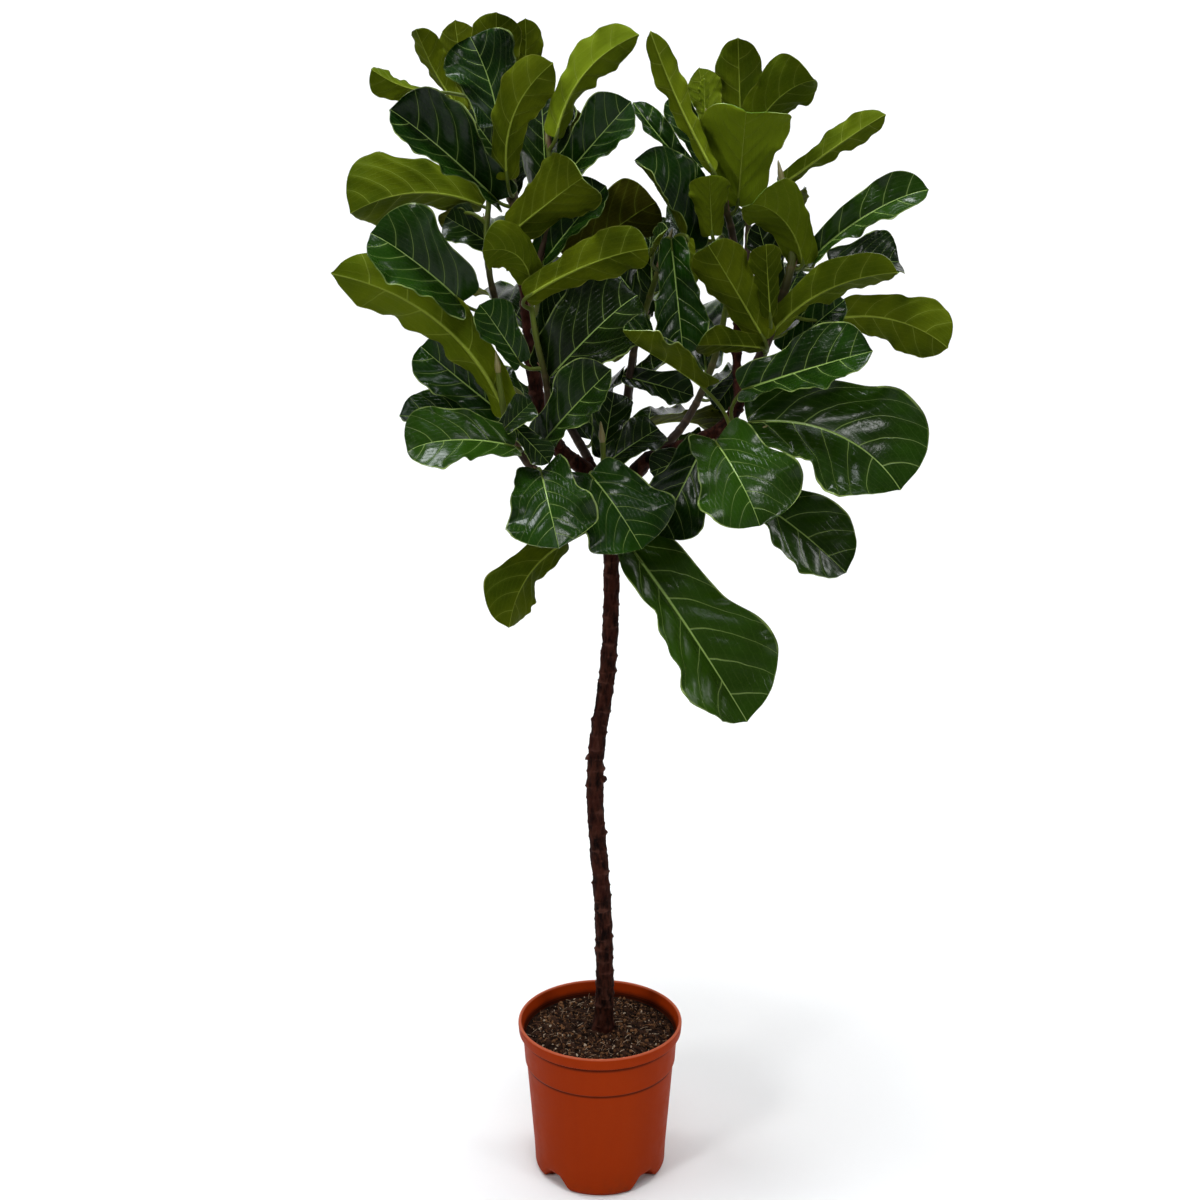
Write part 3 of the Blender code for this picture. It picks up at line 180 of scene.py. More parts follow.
# A leafy stem, whose node is named shoot_ and its name here: how much of it is bare, its radius,
# and its centre line from the parent wood to the tip; its leaves; the foot, tip, face and width of
# each inner leaf, of which only parts show, and its swing if it has one; and the swing of each leaf
# that a rule sets round the stem, or None for one that finds no room
Stem = namedtuple("Stem", "bare thick path leaves inner hidden")
STEMS = {
    "left_top": Stem(35.5, 0.85, (
        (1.5, 0, 97), (-1.4, 0, 102.6), (-5.4, 0, 105.9), (-7.9, 0, 111.2), (-9.2, 0, 119.2),
        (-9.8, 0, 127), (-11, 0, 136), (-11.9, 0, 144.7), (-12.4, 0, 151)), (
        ((-21, 4, 152.4), (-29.4, 0, 154.6), (-1, 8, -2), 5, 0.3, 20, 35, 20, 0.04, 0, 0.07),
        ((-18.4, 6, 150.3), (-23.9, 3, 160.1), (4, 9, 2), 5, 0.1, 20, 30, 20, 0.04, 20, 0.08),
        ((-17, 7, 150.5), (-19.3, 8, 162.3), (1, 9, 2), 6.4, -0.3, 20, 10, 20, 0.04, 0, 0.03),
        ((-13.4, -1, 138.3), (-25.8, -9, 148.3), (-3, -8, 5), 12.6, 0, 20, 38, 20, 0.05, 10),
        ((-13, -2, 147.5), (-16.5, -1, 158.3), (-1, -9, 2), 11, 0, -20, 20, 20, 0.06, 20, 0.05),
        ((-13.8, 4, 150), (-13.2, 0, 161.5), (0, 9, 3), 7, 0.1, 20, 10, 20, 0.05),
        ((-11.1, 5, 150.2), (-9.7, 3, 161.4), (-1, 9, 2), 5, 0.1, 20, 15, 20, 0.04, 0, -0.05),
        ((-11.8, -4, 140.5), (-5.7, -9, 153.7), (-1, 9, 2), 6.8, 0.15, 15, 15, 20, 0.05, 0, 0.14),
        ((-11, -4, 134.3), (-2.1, -12, 139.9), (2, 8, 4), 9.5, -0.2, 20, 15, 20, 0.05, 20),
    ), (
        ((-12.2, 1, 142.8), (-17.2, 3, 149.8), (-2, -9, 2), 7, 0, 4),
        ((-12.1, 1, 138.8), (-10.5, 4, 144.9), (0, -9, 2), 5),
    ), (
        (2.8, 2.8), (0, 0), (19, 0))),
    "left_inner": Stem(3.3, 0.45, (
        (-9.6, 0, 125), (-8.6, -1.5, 128.5), (-6.8, -2.5, 135), (-6.3, -3, 141),
        (-6.6, -3, 145)), (
        ((-5.6, -4, 145.7), (4.9, -3, 158.2), (-3, 9, 2), 6.5, 0.6, 15, 22, 25, 0.05, 0, 0.13),
        ((-4.6, -3, 140.9), (3.9, -6, 149.7), (-1, -9, 2), 8.3, 0, 10, 28, 10, 0.04),
        ((-7.2, -2, 130.7), (0.4, -4, 140.1), (-3, -8, 4), 9, -0.3, 10, 30, 10, 0.03, 0, 0, 0, -4),
        ((-3.7, -1, 130.5), (7.2, -3, 137.9), (-2, 8, 3), 9.5, -0.5, 20, 10, 20, 0.05, 20),
    ), (
        ((-7, -1, 140.3), (-7.6, 2, 151.4), (0, -9, 2), 9.6, 0, 4),
    ), ()),
    "left_mid": Stem(3.1, 0.5, (
        (-8.9, 0, 117), (-11.5, -2, 120.5), (-14, -2.5, 127), (-14.8, -1, 134), (-14.4, 0, 139)), (
        ((-17.6, -7, 125.2), (-28, -13, 133.3), (-2, -8, 5), 12.2, 0.1, 30, 22, 15, 0.05, 20),
        ((-15.5, 1, 137.8), (-32, -4, 136.4), (-1, 8, 4), 11.6, 0.3, 25, 30, 20, 0.05, 0, -0.11),
    ), (
        ((-14.7, 1, 133.1), (-19.7, 2, 137.1), (-2, -9, 3), 6, -9.1, 9.1),
    ), (
        None, (0, -13))),
    "left_low": Stem(9, 0.6, (
        (-0.8, 0, 102), (-4.5, -3, 101.8), (-8.8, -6, 104), (-11.9, -7.5, 109.7),
        (-12.8, -8, 114.5), (-13, -8, 116.4)), (
        ((-11.9, -7, 110.6), (-33.5, -7, 129.2), (3, 9, 1), 9, 0.4, 20, 15, 20, 0.06, 0,
         -0.13, 0, -4),
        ((-12.1, -4, 110.4), (-23.5, -3, 119.7), (-4, -8, 3), 8, -0.1, 20, 20, 20, 0.05, 20),
        ((-12.7, -2, 108.4), (-26.4, -4, 110.7), (-1, -6, 8), 8.4, -0.2, 20, 25, 10, 0.05),
        ((-11, -10.5, 107.2), (-23.8, -16, 106.9), (-1, -8, 5), 9.2, 0.2, 34, 15, 10,
         0.05, 40, 0.03),
        ((-7.6, -9, 103.8), (-5.1, -17, 95.1), (0, -9, 3), 12.6, 0.1, 40, 12, 20, 0.08),
    ), (
        ((-12.1, -10.5, 109.5), (-8.6, -10, 112.8), (0, -8, 3), 4.4),
        ((-10.8, -9, 109.4), (-6.5, -10, 105), (1, -8, 3), 4),
    ), (
        None,)),
    "front_centre": Stem(3, 0.5, (
        (-5.4, 0, 105.9), (-6.5, -3, 109), (-7, -5, 115), (-8.3, -5.3, 121), (-9, -5, 126)), (
        ((-6.5, -4, 115.7), (4.8, -8, 125.7), (-4, -8, 2), 15, -0.5, 20, 15, 15, 0.05, 20,
         0, -2.8, -2.8),
        ((-7.8, -6, 106.9), (1.4, -12, 116.9), (-4, -8, 3), 9, -0.4, 15, 18, 15, 0.04),
        ((-9.5, -7.5, 125.7), (5.8, -16, 131.3), (-2, 9, 2), 7, 0, 30, 15, 20, 0.06, 10, 0.03),
        ((-8.8, -6, 127.8), (-14.6, -11, 131.3), (1, 9, 1), 7, 0.3, 15, 10, 15, 0.04, 0, -0.22),
        ((-10.3, -6, 117.6), (-15.3, -8, 124.9), (3, -8, 3), 6.5, -0.3, 10, 15, 10, 0.03, 20),
    ), (
        ((-7.7, -3, 120.7), (-3.5, -1, 127.8), (0, -9, 2), 6.4),
    ), ()),
    "centre": Stem(14, 0.55, (
        (1.5, 0, 98), (3, 0.5, 106), (3.7, 1.5, 113), (4.5, 0, 119), (6.5, -2, 126),
        (8.5, -3, 132)), (
        ((9, -6, 133), (10.7, -7, 118.4), (0, -9, 2), 8, -0.1, 15, 28, 10, 0.04),
        ((6.6, -6, 131), (8.7, -10, 134), (-4, -6, 6), 3.5, 0.2, 10, 30, 10, 0.02, 0, 0, 0, 4),
        ((11.2, -6, 133.2), (10.6, -8.5, 127.5), (4, 7, 0), 2.6, 0.3, 10, 30, 10, 0.02, 0,
         0, 0, 13),
    ), (
        ((6.9, 0, 126.7), (6.6, 2, 138), (0, -9, 1), 6.6, 0, -19),
        ((6.4, 0, 123.7), (0.5, 3, 130.5), (0, -9, 1), 6, 5.6, -5.6),
        ((3.2, 1, 115.7), (12.6, 0, 113.1), (1, -8, 3), 5),
    ), (
        None, (4, 0), (-5.6, 5.6))),
    "right_main": Stem(27.5, 0.8, (
        (1.5, 0, 97), (5.8, -1.5, 104.2), (13.3, -3, 107.5), (16.6, -3, 109.4),
        (18.5, -3, 112.7), (21.1, -3, 118.4), (22.8, -3, 123.3), (25, -2, 131.2),
        (24.5, 0, 137), (23.8, 1, 141)), (
        ((26.4, -2, 130.2), (18.9, -9, 137.1), (0, 8, 5), 8.4, 0.5, 30, 15, 20, 0.05, 20, -0.12),
        ((23.7, 2, 140.3), (36.9, 0, 149.1), (-3, 8, 3), 4.8, 0.4, 10, 25, 20, 0.05, 10, 0,
         0, 0, 20),
        ((27.4, 0, 130.4), (41.5, -6, 139.1), (-2, -8, 4), 6.8, 0.2, 30, 20, 20, 0.05, 20, -0.04),
        ((31.1, 3, 130), (40.7, 6, 130.9), (0, -7, 5), 9, -0.4, 20, 20, 20, 0.04),
        ((21.7, -3, 120.5), (36.9, -11, 128.8), (-3, 8, 4), 7, 0.3, 25, 15, 20, 0.06, 0, 0.1),
        ((31.4, 2, 123.2), (46.9, 2, 119.4), (0, 9, 2), 8.6, 0.2, 40, 12, 20, 0.08, 20, 0.1),
        ((24.9, 2, 118.9), (32.4, 0, 125.7), (-5, -7, 3), 8, 0, 10, 20, 10, 0.04),
        ((21.2, -6, 120.5), (12.5, -11, 131.4), (-1, 8, 4), 7.5, 0.1, 25, 15, 20, 0.05, 20, 0, -4),
        ((21.8, -6.5, 123.3), (20.6, -10, 132.2), (0, 9, 1), 5, -0.2, 10, 25, 20, 0.03),
        ((21.4, -5, 119.5), (12.3, -10, 119.9), (1, 8, 5), 5, 0, 15, 15, 15, 0.04),
        ((23.4, 0, 125.7), (20.6, 0, 135.7), (1, -9, 3), 5.5, -0.4, 10, 20, 15, 0.04),
    ), (
        ((24.2, 1, 124.9), (27.7, 3, 130.7), (1, -9, 1), 5, 0, -19),
        ((19.2, 0, 116.8), (15.6, 2, 111.4), (0, -8, 2), 3.8),
    ), (
        (-13, 0), None, (0, -4))),
    "right_top": Stem(16.2, 0.55, (
        (18.4, -3, 112.4), (18.2, -1, 116.5), (18.3, 0, 121.8), (18, 0, 129),
        (17.2, -0.5, 134.6), (14.6, -1, 142), (13.9, -1, 147)), (
        ((11.5, -1, 132), (3.8, -4, 142.7), (6, -7, 3), 10.4, 0, 30, 30, 30, 0.05, 20, 0, 0, 4),
        ((13.4, 0, 140.4), (4.3, 2, 150.9), (3, -8, 3), 4.2, 0.1, 10, 30, 10, 0.03, 0, -0.04),
        ((14.4, -5.5, 141.3), (6.2, -6, 158), (2, 9, 1), 4, 0.4, 20, 20, 20, 0.04, 0, 0.03),
        ((14.6, 2, 147.4), (13, 5, 155.7), (2, 9, 1), 5.4, 0.3, 10, 20, 20, 0.03),
        ((13.5, -1, 148.4), (13.3, -1, 153.3), (0, 9, 1), 2, 1, 5, 40, 20, 0.02),
        ((17.9, -1, 137.7), (17.3, -9, 147.7), (1, 8, 4), 12.4, 1, 35, 10, 25, 0.06, 20,
         0, -2.8, 2.8),
        ((14.4, -4, 133.7), (13.7, -5, 141.2), (0, 9, 1), 6, 0.4, 10, 20, 20, 0.04, 0, 0, 0, -13),
    ), (
        ((13.9, 1, 142.8), (9.2, 3, 151.7), (0, -9, 1), 4.4),
    ), (
        None, None)),
    "right_tall": Stem(3.4, 0.45, (
        (18.1, 0, 124.5), (19.1, 1.5, 127.5), (19.7, 3, 132), (19.8, 4, 137), (19.3, 5, 143),
        (19.5, 5, 148)), (
        ((19, 5, 142.5), (17.8, 2, 158.9), (1, 9, 1), 7, 0.2, 20, 12, 25, 0.05, 20, 0, 0, 4),
        ((19.5, 3, 145.1), (27.2, -3, 152.8), (-2, 8, 3), 8.4, 0.3, 30, 12, 20, 0.07, 20, 0.12),
    ), (
        ((18.1, 3, 130.5), (19.4, 6, 138.2), (0, -9, 2), 4, -13, 0),
    ), ()),
    "right_low": Stem(2.4, 0.5, (
        (12.6, -3, 107.2), (14.8, -5, 106.3), (17.3, -6.5, 106.6), (19.5, -7.5, 108.2)), (
        ((19.3, -6, 109.9), (37.3, -16, 102.2), (-1, -8, 4), 17, 0.2, 20, 15, 15, 0.06, 20, -0.13),
        ((14.8, -9.5, 107.7), (19.7, -18, 98), (0, -8, 5), 15, 0.2, 40, 22, 10, 0.05, 20),
        ((15.4, -4.5, 102.6), (32.4, -8, 90.4), (3, -8, 4), 12, 0.25, 20, 15, 15, 0.05, 0, -0.02),
        ((18.4, -6.5, 114.1), (33.2, -16, 119.2), (-2, -8, 5), 10, 0.1, 10, 22, 10, 0.05),
        ((13.4, -8.5, 114.5), (1.7, -16, 120), (1, -3, 9), 9.6, 0.1, 10, 30, 20, 0.05, -30,
         0, 0, 8),
        ((13.6, -6, 107.2), (9.4, -7, 94.5), (0, -8, 2), 10, -0.3, 20, 15, 15, 0.04, 0, 0, 8),
    ), (
        ((13.2, -5, 105.6), (6.6, -5, 103.4), (0, -8, 4), 5),
    ), ()),
    "skirt": Stem(2.2, 0.5, (
        (1.5, 0, 95.5), (1.7, -2.6, 96.6), (1.5, -5, 100), (0.6, -6.3, 104), (0.3, -7, 107.5)), (
        ((4.1, -5, 93.3), (19, -15, 72.1), (5, -8, 1), 17.4, 0.3, 20, 26, 10, 0.04, 0, 0.01),
        ((-1.3, -8, 103.4), (5.3, -14, 94.5), (1, -8, 4), 13.4, 0, 40, 10, 20, 0.06),
        ((-4.4, -3, 93.9), (-12.1, -8, 83), (-3, 8, 2), 9, 0.2, 20, 18, 20, 0.08, 0, -0.12),
    ), (
        ((1, -6, 104.8), (7.6, -1, 109.4), (0, -8, 5), 6.4, 2.8, -2.8),
        ((0.3, -5, 105.2), (1.9, 0, 113.6), (0, -9, 2), 6),
    ), ()),
    "back_left": Stem(10, 0.65, (
        (1.5, 0, 96), (-1, 4, 103), (-5, 9, 110), (-8, 12, 118), (-9, 13, 127), (-9, 13, 134)),
        (), (), (
        (0, 0), (0, 0), (0, 0), (0, 0), (0, 0), (0, 0), (0, 0), (0, 0))),
    "back_centre": Stem(9, 0.6, (
        (1.5, 0, 98), (2.5, 5, 105), (4, 10, 112), (5, 13, 120), (5.5, 14, 128), (5.5, 14, 131)),
        (), (), (
        (0, 0), None, (0, 0), (0, 0), (0, 0), (0, 0), (8, 0))),
    "back_right": Stem(10, 0.65, (
        (1.5, 0, 96.5), (6, 4, 103), (12, 9, 109), (16, 12, 117), (18, 13, 126),
        (18.5, 13, 133)),
        (), (), (
        (0, -19), None, (0, 0), (0, 19), (-2.8, 2.8), (0, 0), None, None)),
}

# Leaves that a rule sets round their stems, by the golden angle, inside two domes: each a centre
# and the two half widths of its ellipse across the front of the crown. Lengths and rises are
# those of the lowest and the highest leaf
HIDDEN_DOMES = (((-9.5, 126.0), (13.0, 21.0)), ((17.0, 124.0), (15.0, 18.0)))
FIRST_ANGLE = math.radians(40.0)
HIDDEN_LENGTHS = (19.0, 14.0)
HIDDEN_RISES = (-0.25, 0.85)
HIDDEN_STALK = 3.5
HIDDEN_WIDTH = 0.56

# Half width of a fiddle-shaped blade, and how far its edge runs ahead of its midrib, by length
OUTLINE = (
    (0.0, 0.05, 0.13, 0.28, 0.50, 0.68, 0.80, 0.88, 0.94, 0.97, 0.985, 1.0),
    (0.0, 0.42, 0.58, 0.66, 0.86, 1.00, 0.96, 0.80, 0.54, 0.31, 0.12, 0.0))
SWEEP = ((0.0, 0.08, 0.25, 0.60, 0.90, 1.0), (-0.70, -0.40, 0.05, 0.12, 0.0, 0.0))

# Veins of a blade, in shares of its length: where a side vein leaves the midrib is found from the
# flat place (x along, y across) as (x - LEAN y - BEND y y) / (1 - BACK y), with y taken positive
VEIN_LEAN = 0.85
VEIN_BEND = 1.7
VEIN_BACK = 0.6
VEIN_PITCH = 0.175
VEIN_STAGGER = 0.2
FIRST_VEIN = 0.22

# Relief of a fine blade, in metres on a leaf of USUAL_LENGTH, and its rows and half columns
USUAL_LENGTH = 0.22
SHEET = 0.0009
QUILT = 0.0030
GROOVE = 0.0009
RIDGE = 0.0022
RIPPLE = 0.0042
LEAF_GRID = (61, 19)
INNER_GRID = (31, 9)

# Rings and sides of a leaf's stalk and of a bud, rows and columns of a scale, and half its sheet
STALK_GRID = (16, 10)
BUD_GRID = (14, 12)
SCALE_GRID = (9, 7)
SCALE_HALF_SHEET = 0.0003

# Paint slots of a leafy stem's pieces
UPPER, UNDER, GREEN, SCALE, BUD = range(5)
SHARP_EDGE = math.radians(50)


# Curves and noise

def unit(vectors):
    """Vectors of an array, scaled to length one along the last axis."""
    vectors = np.asarray(vectors, float)
    return vectors / np.linalg.norm(vectors, axis=-1, keepdims=True)


def through(x, stations, values):
    """Smooth curve through (station, value) pairs: cubics, each sloped by its two neighbours."""
    x, stations, values = (np.asarray(given, float) for given in (x, stations, values))
    slopes = np.gradient(values, stations, axis=0)
    i = np.clip(np.searchsorted(stations, x) - 1, 0, len(stations) - 2)
    step = stations[i + 1] - stations[i]
    t = (x - stations[i]) / step
    if values.ndim > 1:
        step, t = step[..., None], t[..., None]
    return (
        (2 * t**3 - 3 * t**2 + 1) * values[i] + (t**3 - 2 * t**2 + t) * step * slopes[i]
        + (3 * t**2 - 2 * t**3) * values[i + 1] + (t**3 - t**2) * step * slopes[i + 1])


def smooth(low, high, x):
    """0 below low and 1 above high, by the cubic 3 t t - 2 t t t between them."""
    t = np.clip((x - low) / (high - low), 0, 1)
    return t * t * (3 - 2 * t)


def ripples(points, size, seed, waves=12):
    """Smooth noise of about -1 to 1: sines over seeded directions, with waves about size long."""
    rng = np.random.default_rng(seed)
    directions = unit(rng.normal(size=(waves, 3))) * rng.uniform(0.7, 1.5, (waves, 1))
    turns = np.asarray(points) @ (directions.T * TURN / size) + rng.uniform(0, TURN, waves)
    return np.sin(turns).sum(axis=-1) / math.sqrt(2 * waves)


def ring_angles(sides):
    return np.arange(sides) * TURN / sides


def arc_lengths(points):
    return np.concatenate([[0], np.cumsum(np.linalg.norm(np.diff(points, axis=0), axis=1))])


def centre_line(path):
    """Smooth centre line of a branch, in metres, and the arc length at each of its points."""
    path = np.array(path, float) * CM
    stations = arc_lengths(path)
    fine = through(np.linspace(0, stations[-1], 200), stations, path)
    return fine, arc_lengths(fine)


def at_length(line, lengths):
    """Points of a centre line at the given arc lengths."""
    fine, stations = line
    return np.stack([np.interp(lengths, stations, column) for column in fine.T], axis=-1)


def stretch(line, start, end, step):
    """Points of a centre line between two arc lengths, about a step apart, and their headings."""
    lengths = np.linspace(start, end, max(2, int(round((end - start) / step)) + 1))
    headings = at_length(line, lengths + 0.001) - at_length(line, lengths - 0.001)
    return at_length(line, lengths), headings


# Shapes of the part's own source

def leaf_axes(leaf):
    """Foot and length of a blade in metres, and its directions along, up and to the side."""
    foot = np.array(leaf.foot) * CM
    chord = np.array(leaf.tip) * CM - foot
    length = np.linalg.norm(chord)
    along = chord / length
    up = np.array(leaf.face, float)
    up = unit(up - up.dot(along) * along)
    return foot, length, along, up, np.cross(along, up)


def swung(leaf):
    """The leaf with its tip turned across its face and lifted along it."""
    foot, length, along, up, side = leaf_axes(leaf)
    turn, lift = math.tan(math.radians(leaf.turn)), math.tan(math.radians(leaf.lift))
    tip = foot + unit(along + turn * side + lift * up) * length
    return leaf._replace(tip=tuple(tip / CM), face=tuple(up - lift * along))


def blade_points(leaf, u, v):
    """Blade grid: points and upper-side normals for u from foot to tip and v from edge to edge.

    The midrib turns evenly by the arch, and by the hook near its tip, and is then fitted from
    foot to tip. Each half of a cross-section is an arc that leaves the midrib at the fold angle
    and turns by the curl.
    """
    foot, length, along, up, side = leaf_axes(leaf)
    t = np.linspace(0, 1, 97)
    angle = math.radians(leaf.arch) * (0.5 - t)
    angle = angle - math.radians(leaf.hook) * np.clip((t - 0.65) / 0.35, 0, 1) ** 2
    steps = np.exp(1j * angle)
    path = np.concatenate([[0], np.cumsum((steps[1:] + steps[:-1]) / 2)])
    angle = angle - np.angle(path[-1])
    path = path * length / path[-1]
    bow = leaf.sway * length * 4 * t * (1 - t)
    midrib = foot + np.outer(path.real, along) + np.outer(path.imag, up) + np.outer(bow, side)
    tangent = unit(np.gradient(midrib, t, axis=0))
    across = unit(np.cross(tangent, np.outer(np.cos(angle), up) - np.outer(np.sin(angle), along)))
    facing = np.cross(across, tangent)

    def at(rows):
        return np.stack([np.interp(u, t, column) for column in rows.T], axis=1)[:, None, :]

    centre = at(midrib)
    tangent, facing, across = (unit(at(rows)) for rows in (tangent, facing, across))
    u, away, hand = u[:, None], np.abs(v), np.sign(v)
    turn = (math.radians(leaf.twist) * u)[..., None]
    across, facing = (
        across * np.cos(turn) + facing * np.sin(turn),
        facing * np.cos(turn) - across * np.sin(turn))
    half = leaf.width * CM / 2 * through(u, *OUTLINE)
    fold = math.radians(leaf.fold) * (1.2 - 0.4 * u)
    curl = math.radians(leaf.curl) + 1e-3
    soft = np.sqrt(away**2 + 0.0016) - 0.04
    out = hand * half * (np.sin(fold + curl * away) - np.sin(fold)) / curl
    lift = half * (np.cos(fold) - np.cos(fold + curl * soft)) / curl
    ripple = np.sin(TURN * (2.2 * u + 0.21 * hand) + leaf.tip[0])
    lift = lift + leaf.wave * leaf.width * CM * away**2 * ripple * np.sqrt(half / half.max())
    ahead = half * away**1.4 * through(u, *SWEEP)
    points = centre + out[..., None] * across + lift[..., None] * facing
    points = points + ahead[..., None] * tangent
    slope = (fold + curl * away) * np.minimum(1, away / 0.1)
    return points, np.cos(slope)[..., None] * facing - (hand * np.sin(slope))[..., None] * across


def in_dome(tip, foot):
    """A tip drawn in to the dome on its foot's side when it stands outside it."""
    centre, size = min(HIDDEN_DOMES, key=lambda dome: abs(dome[0][0] - foot[0]))
    place = np.array([tip[0], tip[2]]) - centre
    place = centre + place / max(1.0, np.hypot(*(place / size)))
    return np.array([place[0], tip[1], place[1]])


def hidden_leaves(line, bare, swings):
    """Leaves set round a stem, all to the back, drooping more the lower they stand."""
    lowest = bare + PETIOLE_DROP
    for number, swing in enumerate(swings):
        share = (number + 0.6) / len(swings)
        start = at_length(line, lowest + share * (line[1][-1] - lowest))
        heading = GOLDEN_ANGLE * number + FIRST_ANGLE
        rise, length = (np.interp(share, (0, 1), ends) for ends in (HIDDEN_RISES, HIDDEN_LENGTHS))
        outward = unit([math.cos(heading), abs(math.sin(heading)) * 0.8 + 0.35, rise])
        foot = start / CM + outward * HIDDEN_STALK
        tip = in_dome(foot + outward * length * (1 + 0.12 * math.sin(2.3 * number)), foot)
        face = (-0.35 * outward[0], -0.35 * outward[1], 1.0)
        if swing:
            width = HIDDEN_WIDTH * np.linalg.norm(tip - foot)
            yield Leaf(foot, tip, face, width, INNER_SHADE_TONE, 35, 20, 15, 0.05, 20, 0, *swing)


def all_leaves(stem, line):
    """Every leaf of a stem, swung clear, with the rows and half columns of its grid."""
    leaves = [(Leaf(*row), LEAF_GRID) for row in stem.leaves]
    leaves += [
        (Leaf(*row[:4], **dict(zip(("turn", "lift"), row[4:]))), INNER_GRID) for row in stem.inner]
    leaves += [(leaf, INNER_GRID) for leaf in hidden_leaves(line, stem.bare * CM, stem.hidden)]
    return [(swung(leaf), grid) for leaf, grid in leaves]


def petiole(leaf, line, bare):
    """Leaf stalk: it leaves the stem below its blade, bends out and runs in under the midrib."""
    fine, stations = line
    midrib, normals = blade_points(leaf, np.array([0.0, 0.04, 0.10]), np.array([0.0]))
    foot, inside = midrib[0, 0], midrib[2, 0]
    far = np.linalg.norm(fine - foot, axis=1)
    far[stations < bare + PETIOLE_START] = np.inf
    nearest = int(np.argmin(far))
    lower = stations[nearest] - min(PETIOLE_DROP, 0.5 * far[nearest])
    start = at_length(line, max(lower, bare + PETIOLE_START))
    handle = foot - unit(inside - foot) * 0.45 * np.linalg.norm(foot - start)
    t = np.array([0.0, 0.5, 1.0])[:, None]
    end = foot - FOOT_DEPTH * normals[0, 0]
    stalk = (1 - t) ** 2 * start + 2 * t * (1 - t) * handle + t**2 * end
    return np.concatenate([stalk, [inside - MIDRIB_DEPTH * normals[2, 0]]])


def notch_rise(angle):
    """How far a drain notch has risen at an angle round the pot: 0 on a foot, 1 in a notch."""
    pitch = TURN / NOTCHES
    off = np.abs((angle + math.pi / 2) % pitch - pitch / 2)
    return smooth(0, 1, (NOTCH_FLAT + NOTCH_FLANK - off) / NOTCH_FLANK)


def pot_profiles():
    """Profile of the pot wall by ring and side, as (radius, height), from the outer bottom centre
    to the inner one.

    The lower corner is lifted by the notch rise, and the floor steps back down inside it, where
    the wall is thicker along the flanks of the notch.
    """
    rise = notch_rise(ring_angles(POT_SIDES))
    lifted = NOTCH_HEIGHT * rise
    step = FOOT_RADIUS - NOTCH_DEPTH * rise - NOTCH_STEP
    corner = lifted + CORNER_HEIGHT
    lower = WALL_FOOT_RADIUS + WALL_FOOT_SWELL
    inner = step - WALL * rise * (5 - 4 * rise)
    rings = [
        (step - NOTCH_STEP, 0.0),
        (step, lifted),
        (FOOT_RADIUS, lifted),
        (WALL_FOOT_RADIUS, corner),
        (lower, WALL_FOOT_TOP),
        (WALL_TOP_RADIUS, COLLAR_FOOT - STEP_HALF_HEIGHT),
        (COLLAR_FOOT_RADIUS, COLLAR_FOOT + STEP_HALF_HEIGHT),
        (COLLAR_TOP_RADIUS, BAND - STEP_HALF_HEIGHT / 2),
        (RIM_RADIUS - RIM_FLARE, BAND),
        (RIM_RADIUS, POT_HEIGHT - 5 * RIM_ROUND),
        (RIM_RADIUS - RIM_ROUND, POT_HEIGHT - RIM_ROUND),
        (RIM_RADIUS - RIM_LIP, POT_HEIGHT),
        (RIM_RADIUS - RIM_LIP - WALL, POT_HEIGHT - RIM_FLARE),
        (COLLAR_TOP_RADIUS - WALL + RIM_FLARE, BAND),
        (WALL_TOP_RADIUS - WALL, COLLAR_FOOT - 3 * STEP_HALF_HEIGHT),
        (lower - WALL, WALL_FOOT_TOP),
        (WALL_FOOT_RADIUS - WALL, corner + 0.6 * WALL),
        (FOOT_RADIUS - 0.6 * WALL, lifted + WALL),
        (inner, lifted + WALL),
        (inner - NOTCH_STEP, WALL)]
    return np.array([np.stack(np.broadcast_arrays(*ring, rise)[:2], axis=-1) for ring in rings])


def soil_top(radius, angle):
    """Height of the potting mix: mounded to the stem, with soft lumps."""
    share = radius / COLLAR_FOOT_RADIUS
    lumps = np.sin(5 * angle + 40 * radius) * np.sin(90 * radius + 2 * angle)
    lumps = lumps * share * (1.05 - share)
    return SOIL_LEVEL + SOIL_MOUND * (1 - share) ** 1.5 + SOIL_LUMP * lumps


# Meshes: parts with their faces, paint slots, flat places and facts, gathered into one object

Part = namedtuple("Part", "points faces slots flat facts")


def faces_of(index):
    """Faces of a grid of vertex numbers, four to a row; one at a pole has three, and then -1.

    A face's outer side is that of (next column) x (next row).
    """
    corners = np.stack([index[:-1, :-1], index[:-1, 1:], index[1:, 1:], index[1:, :-1]], axis=-1)
    corners = corners.reshape(-1, 4)
    starting = corners[:, 0] == corners[:, 1]
    ending = corners[:, 2] == corners[:, 3]
    corners[starting, 1:3] = corners[starting, 2:4]
    corners[starting | ending, 3] = -1
    return corners


def facts_of(shape, *facts):
    """The facts of every point of a grid, up to three numbers each, which the paints read."""
    facts = (*facts, 0, 0)[:3]
    return np.stack([np.broadcast_to(fact, shape[:2]) for fact in facts], axis=-1)


def part_of(points, faces, slots=0, flat=None, facts=None):
    """A part from whole grids of points, without the vertices that no face uses."""
    points = np.reshape(points, (-1, 3))
    flat = np.zeros((len(points), 2)) if flat is None else np.reshape(flat, (-1, 2))
    facts = np.zeros((len(points), 3)) if facts is None else np.reshape(facts, (-1, 3))
    used, numbers = np.unique(faces, return_inverse=True)
    kept = used[used >= 0]
    numbers = numbers.reshape(faces.shape) - (len(used) - len(kept))
    return Part(points[kept], numbers, np.broadcast_to(slots, len(faces)), flat[kept], facts[kept])


